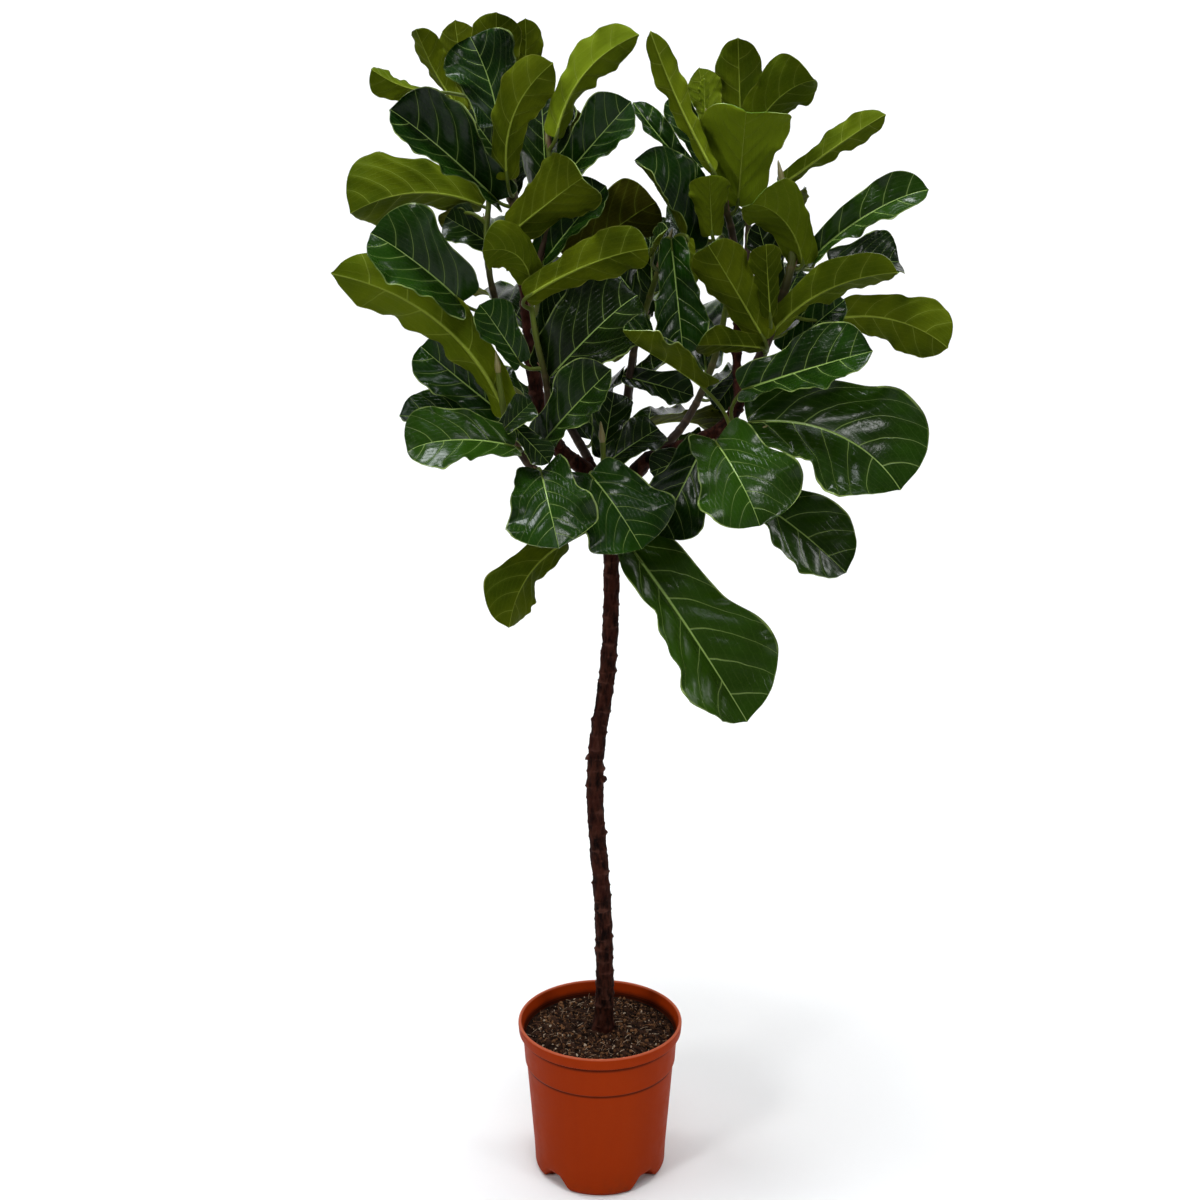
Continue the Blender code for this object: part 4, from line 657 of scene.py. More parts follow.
def thick_sheet(top, bottom, slots, flat=None, facts=None):
    """Closed thin solid between two like grids whose first and last rows are poles.

    The upper grid, the lower one turned over, and a strip down either edge. slots are the paints
    of the upper and the lower side.
    """
    rows, columns = top.shape[:2]
    over = np.arange(rows * columns).reshape(rows, columns)
    over[0], over[-1] = over[0, 0], over[-1, 0]
    under = over + rows * columns
    sheets = [
        faces_of(over),
        faces_of(under[:, ::-1]),
        faces_of(np.stack([under[:, 0], over[:, 0]], axis=1)),
        faces_of(np.stack([over[:, -1], under[:, -1]], axis=1))]
    paints = [np.full(len(sheet), slots[n == 1]) for n, sheet in enumerate(sheets)]
    both = [None if values is None else np.stack([values] * 2) for values in (flat, facts)]
    return part_of(np.stack([top, bottom]), np.concatenate(sheets), np.concatenate(paints), *both)


def round_grid(points, radii, sides, headings=None):
    """Grid of a tube, a row for each point of its path, and the grid's spokes.

    point + radius (cos a ring + sin a other), where ring and other are kept from turning about
    the path.
    """
    points = np.asarray(points, float)
    radii = np.broadcast_to(np.asarray(radii, float).reshape(-1, 1), (len(points), sides))
    tangents = unit(np.gradient(points, axis=0) if headings is None else headings)
    ring = np.cross(tangents[0], (0.0, 1.0, 0.0))
    if np.linalg.norm(ring) < 0.2:
        ring = np.cross(tangents[0], (1.0, 0.0, 0.0))
    rings = []
    for tangent in tangents:
        ring = unit(ring - ring.dot(tangent) * tangent)
        rings.append(ring)
    others = np.cross(tangents, rings)
    angles = ring_angles(sides)[:, None]
    spokes = np.cos(angles) * np.array(rings)[:, None] + np.sin(angles) * others[:, None]
    return points[:, None] + radii[..., None] * spokes, spokes


def tube_part(grid, slot=0, facts=None, tips=None):
    """Closed part of a tube's grid: each end runs to its tip, or to the middle of its ring."""
    tips = grid[[0, -1]].mean(axis=1) if tips is None else np.asarray(tips)
    ends = tips[:, None].repeat(grid.shape[1], axis=1)
    grid = np.concatenate([ends[:1], grid, ends[1:]])
    rows, sides = grid.shape[:2]
    index = np.arange(rows * sides).reshape(rows, sides)
    index[0], index[-1] = index[0, 0], index[-1, 0]
    index = np.concatenate([index, index[:, :1]], axis=1)
    if facts is not None:
        facts = np.concatenate([facts[:1], facts, facts[-1:]])
    return part_of(grid, faces_of(index), slot, facts=facts)


def turned_part(profiles, facts=None):
    """Closed turned part: profiles[ring, side] is (radius, height); both ends run to the axis."""
    angles = ring_angles(profiles.shape[1])
    radius, height = profiles[..., 0], profiles[..., 1]
    grid = np.stack([radius * np.cos(angles), radius * np.sin(angles), height], axis=-1)
    return tube_part(grid, 0, facts, [(0, 0, height[end, 0]) for end in (0, -1)])


def added(name, data):
    """A new object with this data, in the scene."""
    made = bpy.data.objects.new(name, data)
    bpy.context.scene.collection.objects.link(made)
    return made


def mesh_piece(name, parts, paints, node):
    """One object from its parts, riding on the root body, in place of a node of the frame."""
    starts = np.cumsum([0] + [len(part.points) for part in parts])
    points, slots, flat, facts = (
        np.concatenate([getattr(part, field) for part in parts])
        for field in ("points", "slots", "flat", "facts"))
    faces = np.concatenate([
        np.where(part.faces < 0, -1, part.faces + start) for part, start in zip(parts, starts)])
    corners = faces[faces >= 0]
    sizes = (faces >= 0).sum(axis=1)
    mesh = bpy.data.meshes.new(name)
    mesh.vertices.add(len(points))
    mesh.vertices.foreach_set("co", points.ravel())
    mesh.loops.add(len(corners))
    mesh.loops.foreach_set("vertex_index", corners)
    mesh.polygons.add(len(faces))
    mesh.polygons.foreach_set("loop_start", np.cumsum(sizes) - sizes)
    mesh.polygons.foreach_set("material_index", slots)
    mesh.uv_layers.new(name="flat").data.foreach_set("uv", flat[corners].ravel())
    mesh.attributes.new("facts", "FLOAT_VECTOR", "POINT").data.foreach_set("vector", facts.ravel())
    for paint in paints:
        mesh.materials.append(paint)
    mesh.update(calc_edges=True)
    mesh.validate()
    mesh.shade_smooth()
    mesh.set_sharp_from_angle(angle=SHARP_EDGE)
    piece = added(name, mesh)
    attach(piece, "root")
    if node:
        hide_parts(node)
    return piece


# Leaves

def vein_phase(x, y):
    """Side veins lie where this is a whole number; x and y are a flat place on the blade."""
    away = np.abs(y)
    launch = (x - VEIN_LEAN * away - VEIN_BEND * away**2) / (1 - VEIN_BACK * away)
    return launch / VEIN_PITCH + VEIN_STAGGER * np.sign(y) + FIRST_VEIN, launch


def fine_leaf(leaf, seed, rows, half_columns):
    """One leaf blade as a thin sheet with an upper and a lower paint.

    The blade surface of the table row, raised between its side veins by (4 f (1 - f)) to the 0.7,
    where f is the share of the way from one vein to the next; sunk along the midrib above, where
    a ridge stands out below; and rippled along its edges. Rows stand closer near both ends.
    """
    t = np.linspace(0, 1, rows)
    u = 0.6 * t + 0.4 * (0.5 - 0.5 * np.cos(math.pi * t))
    side = np.linspace(0, 1, half_columns + 1) ** 1.4
    v = np.concatenate([-side[:0:-1], side])
    points, normals = blade_points(leaf, u, v)
    u, away, hand = u[:, None], np.abs(v)[None, :], np.sign(v)[None, :]
    length = leaf_axes(leaf)[1]
    size = length / USUAL_LENGTH
    half = leaf.width * CM / 2 / length * through(u, *OUTLINE)
    x = u + half * away**1.4 * through(u, *SWEEP)
    y = half * v

    middle = points[:, half_columns : half_columns + 1]
    wobble = 0.02 * np.sin(TURN * 1.7 * u + seed + hand)
    wobble = wobble + 0.012 * np.sin(TURN * 4.3 * u + 2 * seed)
    points = points + (points - middle) * (wobble * away)[..., None]

    phase, launch = vein_phase(x, y)
    between = np.abs(phase - np.floor(phase))
    swell = (4 * between * (1 - between)) ** 0.7 * smooth(0.0, 0.3, away) * (1 - 0.4 * away)
    swell = swell * smooth(-0.1, 0.05, launch) * (1 - smooth(0.8, 0.95, launch))
    rise = QUILT * size * swell - GROOVE * np.exp(-((y / 0.012) ** 2)) * (1 - 0.6 * u)
    edge = np.clip((away - 0.45) / 0.55, 0, 1) ** 2
    waves = np.sin(TURN * (3.6 * u + 0.3 * hand) + 1.7 * seed)
    waves = waves + 0.5 * np.sin(TURN * (7.3 * u + 0.4 * hand) + 2.9 * seed)
    rise = rise + RIPPLE * size * edge * waves * np.sin(math.pi * np.clip(u, 0.04, 0.97))
    ridge = RIDGE * size * (1 - 0.75 * u) * np.exp(-((y / (0.011 - 0.005 * u)) ** 2))
    top = points + normals * (rise + SHEET / 2)[..., None]
    bottom = points + normals * (rise - SHEET / 2 - ridge)[..., None]
    flat = np.stack([x, y], axis=-1)
    facts = facts_of(top.shape, away, leaf.tone, math.sin(12.9 * seed))
    return thick_sheet(top, bottom, (UPPER, UNDER), flat, facts)


def fine_stalk(leaf, line, bare):
    """A leaf's stalk, smooth through the four points of its solid, thickest where it leaves the
    stem.
    """
    points = petiole(leaf, line, bare)
    stations = arc_lengths(points)
    rings, sides = STALK_GRID
    along = np.linspace(0, stations[-1], rings)
    path = through(along, stations, points)
    share = along / stations[-1]
    girth = np.interp(along, stations, PETIOLE_RADII) * (1 + 0.25 * np.exp(-share / 0.08))
    grid = round_grid(path, girth, sides)[0]
    facts = facts_of(grid.shape, 0.75 + 0.25 * share[:, None], leaf.tone)
    return tube_part(grid, GREEN, facts), path


def scale_leaf(foot, heading, outward, length, seed):
    """Papery brown scale at a leaf's root: a pointed sheet, bent round the stem and off it."""
    rows, columns = SCALE_GRID
    u, v = np.linspace(0, 1, rows), np.linspace(-1, 1, columns)
    side = unit(np.cross(heading, outward))
    width = 0.22 * length * np.sqrt(np.sin(math.pi * u**0.75).clip(0)) * (1 - 0.5 * u)
    lean = 0.15 * length * u**2
    middle = foot + np.outer(u, heading) * length + np.outer(lean + 0.0008, outward)
    across = np.outer(width, v)
    back = 0.5 * np.outer(width, v**2) + 0.0004 * np.sin(9 * u[:, None] + 3 * v + seed)
    points = middle[:, None] + across[..., None] * side - back[..., None] * outward
    half = SCALE_HALF_SHEET * outward
    return thick_sheet(points + half, points - half, (SCALE, SCALE))


def stem_parts(stem, line):
    """Green wood of one leafy stem, ringed where leaves stood, and the pointed bud at its tip."""
    thick = stem.thick * CM
    start, end = stem.bare * CM + GAP, line[1][-1]
    points, headings = stretch(line, start, end, STEM_STEP)
    share = np.linspace(0, 1, len(points))
    along = share * (end - start)
    rings = np.exp(-(((along + 0.006 * np.sin(along * 90)) % 0.021 - 0.01) / 0.0013) ** 2)
    radii = thick + share * (BUD_RADIUS - thick) + 0.0006 * rings
    grid, spokes = round_grid(points, radii, STEM_SIDES, headings)
    grid = grid + (0.0003 * ripples(grid, 0.006, 3))[..., None] * spokes
    facts = facts_of(grid.shape, share[:, None] ** 1.3, 0, rings[:, None])
    rows, sides = BUD_GRID
    t = np.linspace(0, 1, rows)
    path = points[-1] + np.outer(t, unit(headings[-1])) * BUD_LENGTH * 0.98
    girth = BUD_RADIUS * np.sqrt((1 - t**1.7).clip(0))
    girth = girth * (1 + 0.25 * np.sin(math.pi * t.clip(0, 0.6) / 0.6))
    bud = round_grid(path, girth.clip(0.0004), sides)[0]
    return [tube_part(grid, GREEN, facts), tube_part(bud, BUD)]


def leafy_stem(name, stem, line, paints):
    """The fine pieces of one leafy stem: its leaves, and its wood with stalks, scales and bud."""
    blades = []
    wood = stem_parts(stem, line)
    fine, stations = line
    for number, (leaf, grid) in enumerate(all_leaves(stem, line)):
        seed = 1.0 + number + 0.1 * leaf.tip[0]
        blades.append(fine_leaf(leaf, seed, *grid))
        stalk, path = fine_stalk(leaf, line, stem.bare * CM)
        nearest = stations[int(np.argmin(np.linalg.norm(fine - path[0], axis=1)))]
        heading = unit(at_length(line, min(nearest + 0.01, stations[-1])) - path[0] + 1e-6)
        outward = path[3] - path[0]
        outward = unit(outward - outward.dot(heading) * heading)
        root = path[0] + outward * stem.thick * CM * 0.7
        length = 0.014 + 0.005 * math.sin(5 * seed)
        wood += [stalk, scale_leaf(root, heading, outward, length, seed)]
    mesh_piece(name + "_leaves", blades, paints[:2], name)
    mesh_piece(name + "_wood", wood, paints, name)


# Wood

def bark_part(points, radii, bark, number=0, headings=None):
    """A woody tube: its ring radius grows by fissures, leaf scars and lumps.

    Fissures are noise drawn out along the stem. Each scar is a narrow ring, tilted a little, with
    a wide low lump on the side where its leaf stood. The relief is kept as a fact for the paint.
    """
    sides, seed, scars = bark
    seed += number
    grid, spokes = round_grid(points, radii, sides, headings)
    along, angles = arc_lengths(points)[:, None], ring_angles(sides)
    unrolled = np.stack(np.broadcast_arrays(
        0.012 * np.cos(angles), 0.012 * np.sin(angles), 0.22 * along), axis=-1)
    relief = 0.0007 * ripples(unrolled, 0.0045, seed) + 0.0008 * ripples(grid, 0.018, seed + 1)
    relief = relief + 0.0005 * np.abs(ripples(grid, 0.006, seed + 2)) - 0.0003
    rng = np.random.default_rng(seed)
    turn = rng.uniform(0, TURN)
    places = np.arange(FIRST_SCAR, along[-1, 0], scars)
    for place in places + rng.uniform(-0.3, 0.3, len(places)) * scars:
        turn += GOLDEN_ANGLE
        off = (angles - turn + math.pi) % TURN - math.pi
        level = along - place - 0.0022 * np.cos(off)
        relief = relief + 0.0011 * np.exp(-((level / 0.0011) ** 2))
        lump = np.exp(-((level / 0.0032) ** 2) - (off / 0.45) ** 2)
        relief = relief + rng.uniform(0.0012, 0.0034) * lump
    facts = facts_of(grid.shape, np.clip(0.45 + relief / RELIEF_SPAN, 0, 1))
    return tube_part(grid + relief[..., None] * spokes, 0, facts)


def make_trunk(lines, bark):
    """The bare stem with its flared foot and stubs, and the bare part of every branch."""
    places, radii = (np.array(values) * CM for values in zip(*TRUNK))
    stations = arc_lengths(places)
    along = np.arange(0, stations[-1], TRUNK_STEP)
    girth = np.interp(along, stations, radii)
    parts = [bark_part(through(along, stations, places), girth, TRUNK_BARK)]
    for number, ends in enumerate(np.array(STUBS) * CM):
        path, radii = (np.linspace(*given, STUB_RINGS) for given in (ends, STUB_RADII))
        parts.append(bark_part(path, radii, STUB_BARK, number))
    for number, (name, stem) in enumerate(STEMS.items()):
        points, headings = stretch(lines[name], 0, stem.bare * CM, BRANCH_STEP)
        thin = stem.thick * CM
        wide = thin * (1 + BRANCH_TAPER * min(stem.bare, LONGEST_TAPER))
        radii = np.linspace(wide, thin, len(points))
        parts.append(bark_part(points, radii, BRANCH_BARK, number, headings))
    mesh_piece("trunk_bark", parts, [bark], "trunk")


# Potting mix

def make_soil(mix):
    """The potting mix: the solid's own surface, made lumpy, down its wall to its bottom."""
    angles = ring_angles(POT_SIDES)
    share = (SOIL_LEVEL - COLLAR_FOOT) / (BAND - COLLAR_FOOT)
    edge = WALL_TOP_RADIUS - WALL + share * (COLLAR_TOP_RADIUS - WALL_TOP_RADIUS) - 2 * GAP
    radii = np.linspace(INNER_RING, edge, SOIL_RINGS)[:, None]
    height = soil_top(radii, angles)
    places = np.stack([radii * np.cos(angles), radii * np.sin(angles), height], axis=-1)
    rough = sum(depth * ripples(places, size, seed) for depth, size, seed in SOIL_ROUGH)
    depth, reach = EDGE_PRESS
    height = height + rough * smooth(0, ROUGH_MARGIN, edge - radii)
    height = height - depth * smooth(reach, 0, edge - radii)
    wall = pot_profiles()[: -INNER_WALL_RINGS - 1 : -1] + (-1.5 * GAP, 2 * GAP)
    top = np.stack(np.broadcast_arrays(radii, height), axis=-1)[::-1]
    relief = np.clip(0.5 + rough[::-1] / RELIEF_SPAN, 0, 1)
    relief = np.concatenate([np.zeros(wall.shape[:2]), relief])
    soil = turned_part(np.concatenate([wall, top]), facts_of(relief.shape, relief))
    mesh_piece("soil_surface", [soil], [mix], "soil")


def make_crumbs(mix):
    """Bark crumbs, pale grit and root fibres, strewn over the potting mix by a seeded draw.

    A crumb is a ball of 4 rings of 6, squeezed, pushed in and out and turned at random; a fibre is
    a thin three-sided tube along a bent path.
    """
    rng = np.random.default_rng(CRUMB_SEED)
    radius = CRUMB_REACH * np.sqrt(rng.uniform(0.03, 1, CRUMBS))
    angle = rng.uniform(0, TURN, CRUMBS)
    size = CRUMB_SIZES[0] + CRUMB_SIZES[1] * rng.uniform(0, 1, CRUMBS) ** 3
    shade = rng.uniform(0, 1, CRUMBS) ** 1.5
    pale = rng.uniform(0, 1, CRUMBS) < PALE_SHARE
    shade[pale] = rng.uniform(1.5, 2.0, pale.sum())
    size[pale] *= 0.7
    height = soil_top(radius, angle) + 0.3 * size
    places = np.stack([radius * np.cos(angle), radius * np.sin(angle), height], axis=-1)
    theta, phi = np.linspace(math.pi, 0, 6)[:, None], ring_angles(6)
    ball = np.stack(np.broadcast_arrays(
        np.sin(theta) * np.cos(phi), np.sin(theta) * np.sin(phi), np.cos(theta)), axis=-1)
    parts = []
    for n, place in enumerate(places):
        spin = np.linalg.qr(rng.normal(size=(3, 3)))[0]
        spin = spin * np.sign(np.linalg.det(spin))
        squeeze = rng.uniform(0.45, 1.25, 3)
        lumps = 1 + 0.25 * np.sin(ball @ (3, 5, 4) + n)[..., None]
        crumb = (ball * lumps * squeeze * size[n]) @ spin + place
        facts = facts_of((4, 6), 0.5, shade[n])
        parts.append(tube_part(crumb[1:-1], 0, facts, crumb[[0, -1], 0]))
    rings, sides = FIBRE_GRID
    t = np.linspace(0, 1, rings)
    for n in range(FIBRES):
        r, a = FIBRE_REACH * math.sqrt(rng.uniform(0.04, 1)), rng.uniform(0, TURN)
        start = np.array([r * math.cos(a), r * math.sin(a), soil_top(r, a) + 0.0006])
        course, long, bend = rng.uniform(0, TURN), rng.uniform(0.006, 0.018), rng.uniform(-1.2, 1.2)
        ahead, aside = long * t, long * bend * t**2 / 2
        path = start + np.stack([
            ahead * math.cos(course) - aside * math.sin(course),
            ahead * math.sin(course) + aside * math.cos(course),
            0.12 * long * np.sin(3 * t + n)], axis=-1)
        grid = round_grid(path, rng.uniform(0.00025, 0.0005), sides)[0]
        parts.append(tube_part(grid, 0, facts_of(grid.shape, 0.5, rng.uniform(0.9, 1.7))))
    mesh_piece("soil_crumbs", parts, [mix], None)


# Pot

def rounded(profiles, reach, steps=5):
    """Profiles with every corner replaced by a short curve: the parabola from reach before the
    corner to reach past it, or to 0.3 of a shorter side."""
    corners = profiles[1:-1]
    into, out = corners - profiles[:-2], profiles[2:] - corners
    before, after = (
        np.minimum(reach, 0.3 * np.linalg.norm(run, axis=-1))[..., None] * unit(run)
        for run in (into, out))
    t = np.linspace(0, 1, steps)[:, None, None]
    curves = [
        (1 - t) ** 2 * (corner - back) + 2 * t * (1 - t) * corner + t**2 * (corner + on)
        for corner, back, on in zip(corners, before, after)]
    return np.concatenate([profiles[:1], *curves, profiles[-1:]])


def make_pot_wall(plastic):
    """The pot: its solid's profile with rounded corners, turned finely, with its drain holes."""
    wall = turned_part(rounded(pot_profiles(), CORNER_REACH))
    pot = mesh_piece("pot_wall", [wall], [plastic], "pot")
    for angle in (np.arange(NOTCHES) + 0.5) * TURN / NOTCHES - math.pi / 2:
        place = (DRAIN_REACH * math.cos(angle), DRAIN_REACH * math.sin(angle), NOTCH_HEIGHT)
        path = place + np.outer(np.linspace(-0.5, 0.5, 3), (0, 0, NOTCH_HEIGHT))
        drill(pot, tube_part(round_grid(path, DRAIN_HOLE_RADIUS, DRAIN_HOLE_SIDES)[0]))


def drill(piece, part):
    """Cut a closed part out of a piece, with a Boolean that is applied at once."""
    mesh = bpy.data.meshes.new("drill")
    faces = [[corner for corner in face if corner >= 0] for face in part.faces.tolist()]
    mesh.from_pydata(part.points.tolist(), [], faces)
    cutter = added("drill", mesh)
    cut = piece.modifiers.new("hole", "BOOLEAN")
    cut.operation = "DIFFERENCE"
    cut.object = cutter
    graph = bpy.context.evaluated_depsgraph_get()
    drilled = bpy.data.meshes.new_from_object(piece.evaluated_get(graph))
    piece.modifiers.clear()
    piece.data = drilled
    bpy.data.objects.remove(cutter)


# Paints

class Paint:
    """A material under way: its shader, and short calls that add a node and give its output."""

    def __init__(self, name, roughness, shine=0.5):
        self.material = bpy.data.materials.new(name)
        self.material.use_nodes = True
        self.tree = self.material.node_tree
        self.shader = self.tree.nodes["Principled BSDF"]
        self.set("Roughness", roughness)
        self.set("Specular IOR Level", shine)

    def feed(self, target, value):
        """Give a socket a number, a colour or another node's output."""
        if isinstance(value, bpy.types.NodeSocket):
            self.tree.links.new(value, target)
        else:
            target.default_value = (*value, 1) if target.type == "RGBA" else value

    def set(self, socket, value):
        self.feed(self.shader.inputs[socket], value)

    def node(self, kind, values, output=0, **settings):
        """Output of a new node; values maps its input numbers or names to what they are fed."""
        made = self.tree.nodes.new(kind)
        for key, setting in settings.items():
            setattr(made, key, setting)
        for key, value in values.items():
            self.feed(made.inputs[key], value)
        return made.outputs[output]

    def math(self, operation, *values):
        return self.node("ShaderNodeMath", dict(enumerate(values)), operation=operation)

    def times(self, first, second):
        return self.math("MULTIPLY", first, second)

    def span(self, value, low, high, at_low=0.0, at_high=1.0):
        """at_low below low, at_high above high, and smooth between."""
        values = dict(enumerate((value, low, high, at_low, at_high)))
        return self.node("ShaderNodeMapRange", values, interpolation_type="SMOOTHSTEP")

    def line(self, distance, inside, outside):
        """1 up to a distance, falling smoothly to 0 at another."""
        return self.span(distance, inside, outside, 1.0, 0.0)

    def mix(self, share, first, second):
        values = {0: share, 6: first, 7: second}
        return self.node("ShaderNodeMix", values, 2, data_type="RGBA")

    def over(self, base, coat, share, strength):
        """The base colour with a coat over it, which covers share times strength of it."""
        return self.mix(self.times(share, strength), base, coat)

    def place(self):
        return self.node("ShaderNodeTexCoord", {}, "Object")

    def parts(self, vector):
        made = self.tree.nodes.new("ShaderNodeSeparateXYZ")
        self.feed(made.inputs[0], vector)
        return tuple(made.outputs)

    def facts(self):
        """The three facts that each vertex holds."""
        return self.parts(self.node("ShaderNodeAttribute", {}, "Vector", attribute_name="facts"))

    def noise(self, scale, detail=3.0, rough=0.55, rise=None):
        """Noise at a place of the object; rise scales its heights, and a low one draws it out."""
        place = self.place()
        if rise:
            place = self.node("ShaderNodeMapping", {"Vector": place, "Scale": (1.0, 1.0, rise)})
        values = {"Vector": place, "Scale": scale, "Detail": detail, "Roughness": rough}
        return self.node("ShaderNodeTexNoise", values)

    def bump(self, height, distance, strength=1.0):
        values = {"Strength": strength, "Distance": distance, "Height": height}
        self.set("Normal", self.node("ShaderNodeBump", values, "Normal"))


def vein_lines(paint):
    """Shares of midrib, side veins, their halo and cross veins at a place on a blade.

    The side veins are the lines of vein_phase; the cross veins run from one of them to the next.
    """
    x, y = paint.parts(paint.node("ShaderNodeUVMap", {}, uv_map="flat"))[:2]
    away = paint.math("ABSOLUTE", y)
    bent = paint.times(away, paint.math("MULTIPLY_ADD", away, VEIN_BEND, VEIN_LEAN))
    ahead = paint.math("SUBTRACT", x, bent)
    launch = paint.math("DIVIDE", ahead, paint.math("MULTIPLY_ADD", away, -VEIN_BACK, 1.0))
    stagger = paint.math("MULTIPLY_ADD", paint.math("SIGN", y), VEIN_STAGGER, FIRST_VEIN)
    phase = paint.math("ADD", paint.math("DIVIDE", launch, VEIN_PITCH), stagger)
    phase = paint.math("MULTIPLY_ADD", paint.noise(18.0, 2.0), 0.34, phase)
    gap = paint.math("PINGPONG", phase, 0.5)
    width = paint.span(away, 0.0, 0.32, 0.034, 0.013)
    held = paint.times(paint.span(launch, -0.10, -0.02), paint.line(launch, 0.84, 0.95))
    side = paint.times(paint.line(gap, paint.times(width, 0.3), width), held)
    halo = paint.times(paint.line(gap, 0.0, 0.24), held)
    wide = paint.span(x, 0.0, 1.0, 0.0125, 0.0035)
    midrib = paint.line(away, paint.times(wide, 0.5), wide)
    steps = paint.math("MULTIPLY_ADD", phase, 0.35, paint.math("DIVIDE", away, 0.035))
    steps = paint.math("MULTIPLY_ADD", paint.noise(60.0, 2.0), 0.7, steps)
    cross = paint.line(paint.math("PINGPONG", steps, 0.5), 0.02, 0.10)
    return midrib, side, halo, cross


def leaf_paint(name, colours, roughness, shine, relief, glow, marks):
    """One side of a leaf: blade, vein and margin colours, and light that passes through it.

    colours: old and fresh blade, young blade, brown-tinged blade, veins, margin; the brown-tinged
    blade, reached at low tones, is also painted shade on leaves deep in the crown. marks: how far
    the finest veins show in the colour.
    """
    old, fresh, young, brown, veins, margin = colours
    paint = Paint(name, roughness, shine)
    edge, tone, chance = paint.facts()
    midrib, side, halo, cross = vein_lines(paint)
    cells = {"Vector": paint.place(), "Scale": 230.0}
    cells = paint.node("ShaderNodeTexVoronoi", cells, feature="DISTANCE_TO_EDGE")
    net = paint.line(cells, 0.0, 0.10)
    cloud = paint.span(paint.noise(14.0), 0.3, 0.7)
    blade = paint.mix(paint.math("ADD", cloud, paint.times(chance, 0.25)), old, fresh)
    blade = paint.mix(paint.span(tone, 0.0, 1.0), blade, young)
    # Low tones turn the blade brown and dark: old leaves, and painted shade on leaves deep in the
    # crown
    blade = paint.mix(paint.span(tone, -0.15, -0.7), blade, brown)
    shown = ((halo, 0.08 * marks), (cross, 0.07 * marks), (net, 0.05 * marks))
    for lines, strength in (*shown, (side, 0.5), (midrib, 0.85)):
        blade = paint.over(blade, veins, lines, strength)
    wear_and_highlight = paint.span(paint.noise(26.0, 2.0), 0.40, 0.64, 0.08, 0.7)
    blade = paint.over(blade, margin, paint.span(edge, 0.955, 0.985), wear_and_highlight)
    paint.set("Base Color", blade)
    height = paint.math("MAXIMUM", midrib, side)
    for lines, strength in ((cross, 0.22), (net, 0.08), (paint.noise(220.0, 2.0), 0.04)):
        height = paint.math("MULTIPLY_ADD", lines, strength, height)
    paint.bump(height, relief)
    patches = paint.noise(35.0, 4.0)
    paint.set("Roughness", paint.span(patches, 0.3, 0.7, roughness - 0.02, roughness + 0.05))
    shone = paint.node("ShaderNodeBsdfTranslucent", {"Color": young})
    mixed = paint.node("ShaderNodeMixShader", {0: glow, 1: paint.shader.outputs[0], 2: shone})
    paint.feed(paint.tree.nodes["Material Output"].inputs["Surface"], mixed)
    return paint.material


def green_wood_paint():
    """Stalks and leafy stems: brown bark at a stem's foot, green towards its tip."""
    paint = Paint("green_wood", 0.5, 0.12)
    youth, ring = paint.facts()[::2]
    grain = paint.noise(90.0, 4.0, rise=0.35)
    bark = paint.mix(grain, (0.012, 0.006, 0.004), (0.045, 0.026, 0.014))
    green = paint.mix(grain, (0.040, 0.060, 0.006), (0.085, 0.110, 0.012))
    colour = paint.mix(paint.span(youth, 0.15, 0.8), bark, green)
    paint.set("Base Color", paint.over(colour, (0.09, 0.055, 0.03), ring, 0.5))
    paint.bump(grain, 0.0006)
    return paint.material


def streaked_paint(name, roughness, scale, rise, dark, light):
    """The skin of scales and buds, with fine upright streaks."""
    paint = Paint(name, roughness)
    streaks = paint.noise(scale, rise=rise)
    paint.set("Base Color", paint.mix(streaks, dark, light))
    paint.bump(streaks, 0.0004)
    return paint.material


def bark_paint():
    """Dark brown bark: nearly black in its fissures, greyer on its ridges, with reddish patches."""
    paint = Paint("dark_bark", 0.75, 0.05)
    relief = paint.facts()[0]
    grain = paint.noise(140.0, 6.0, 0.65, rise=0.3)
    patches = paint.span(paint.noise(28.0), 0.45, 0.65)
    fissures = paint.span(grain, 0.36, 0.64)
    colour = paint.mix(fissures, (0.0035, 0.0009, 0.0006), (0.040, 0.011, 0.006))
    colour = paint.over(colour, (0.080, 0.030, 0.020), paint.span(relief, 0.45, 0.95), 0.7)
    paint.set("Base Color", paint.over(colour, (0.034, 0.007, 0.004), patches, 0.5))
    paint.bump(grain, 0.0022)
    return paint.material


def mix_paint():
    """Potting mix: dark peat by its relief, and crumbs from dark through brown to pale grit."""
    paint = Paint("potting_mix", 0.92, 0.05)
    relief, shade = paint.facts()[:2]
    fine = paint.noise(600.0, 5.0, 0.7)
    peat = paint.mix(fine, (0.009, 0.0036, 0.0022), (0.056, 0.025, 0.014))
    peat = paint.mix(paint.span(relief, 0.3, 0.9), (0.008, 0.0038, 0.0026), peat)
    crumb = paint.mix(paint.span(shade, 0.0, 1.0), peat, (0.17, 0.080, 0.036))
    crumb = paint.mix(paint.span(shade, 1.0, 2.0), crumb, (0.46, 0.37, 0.27))
    paint.set("Base Color", crumb)
    paint.bump(fine, 0.0008)
    return paint.material


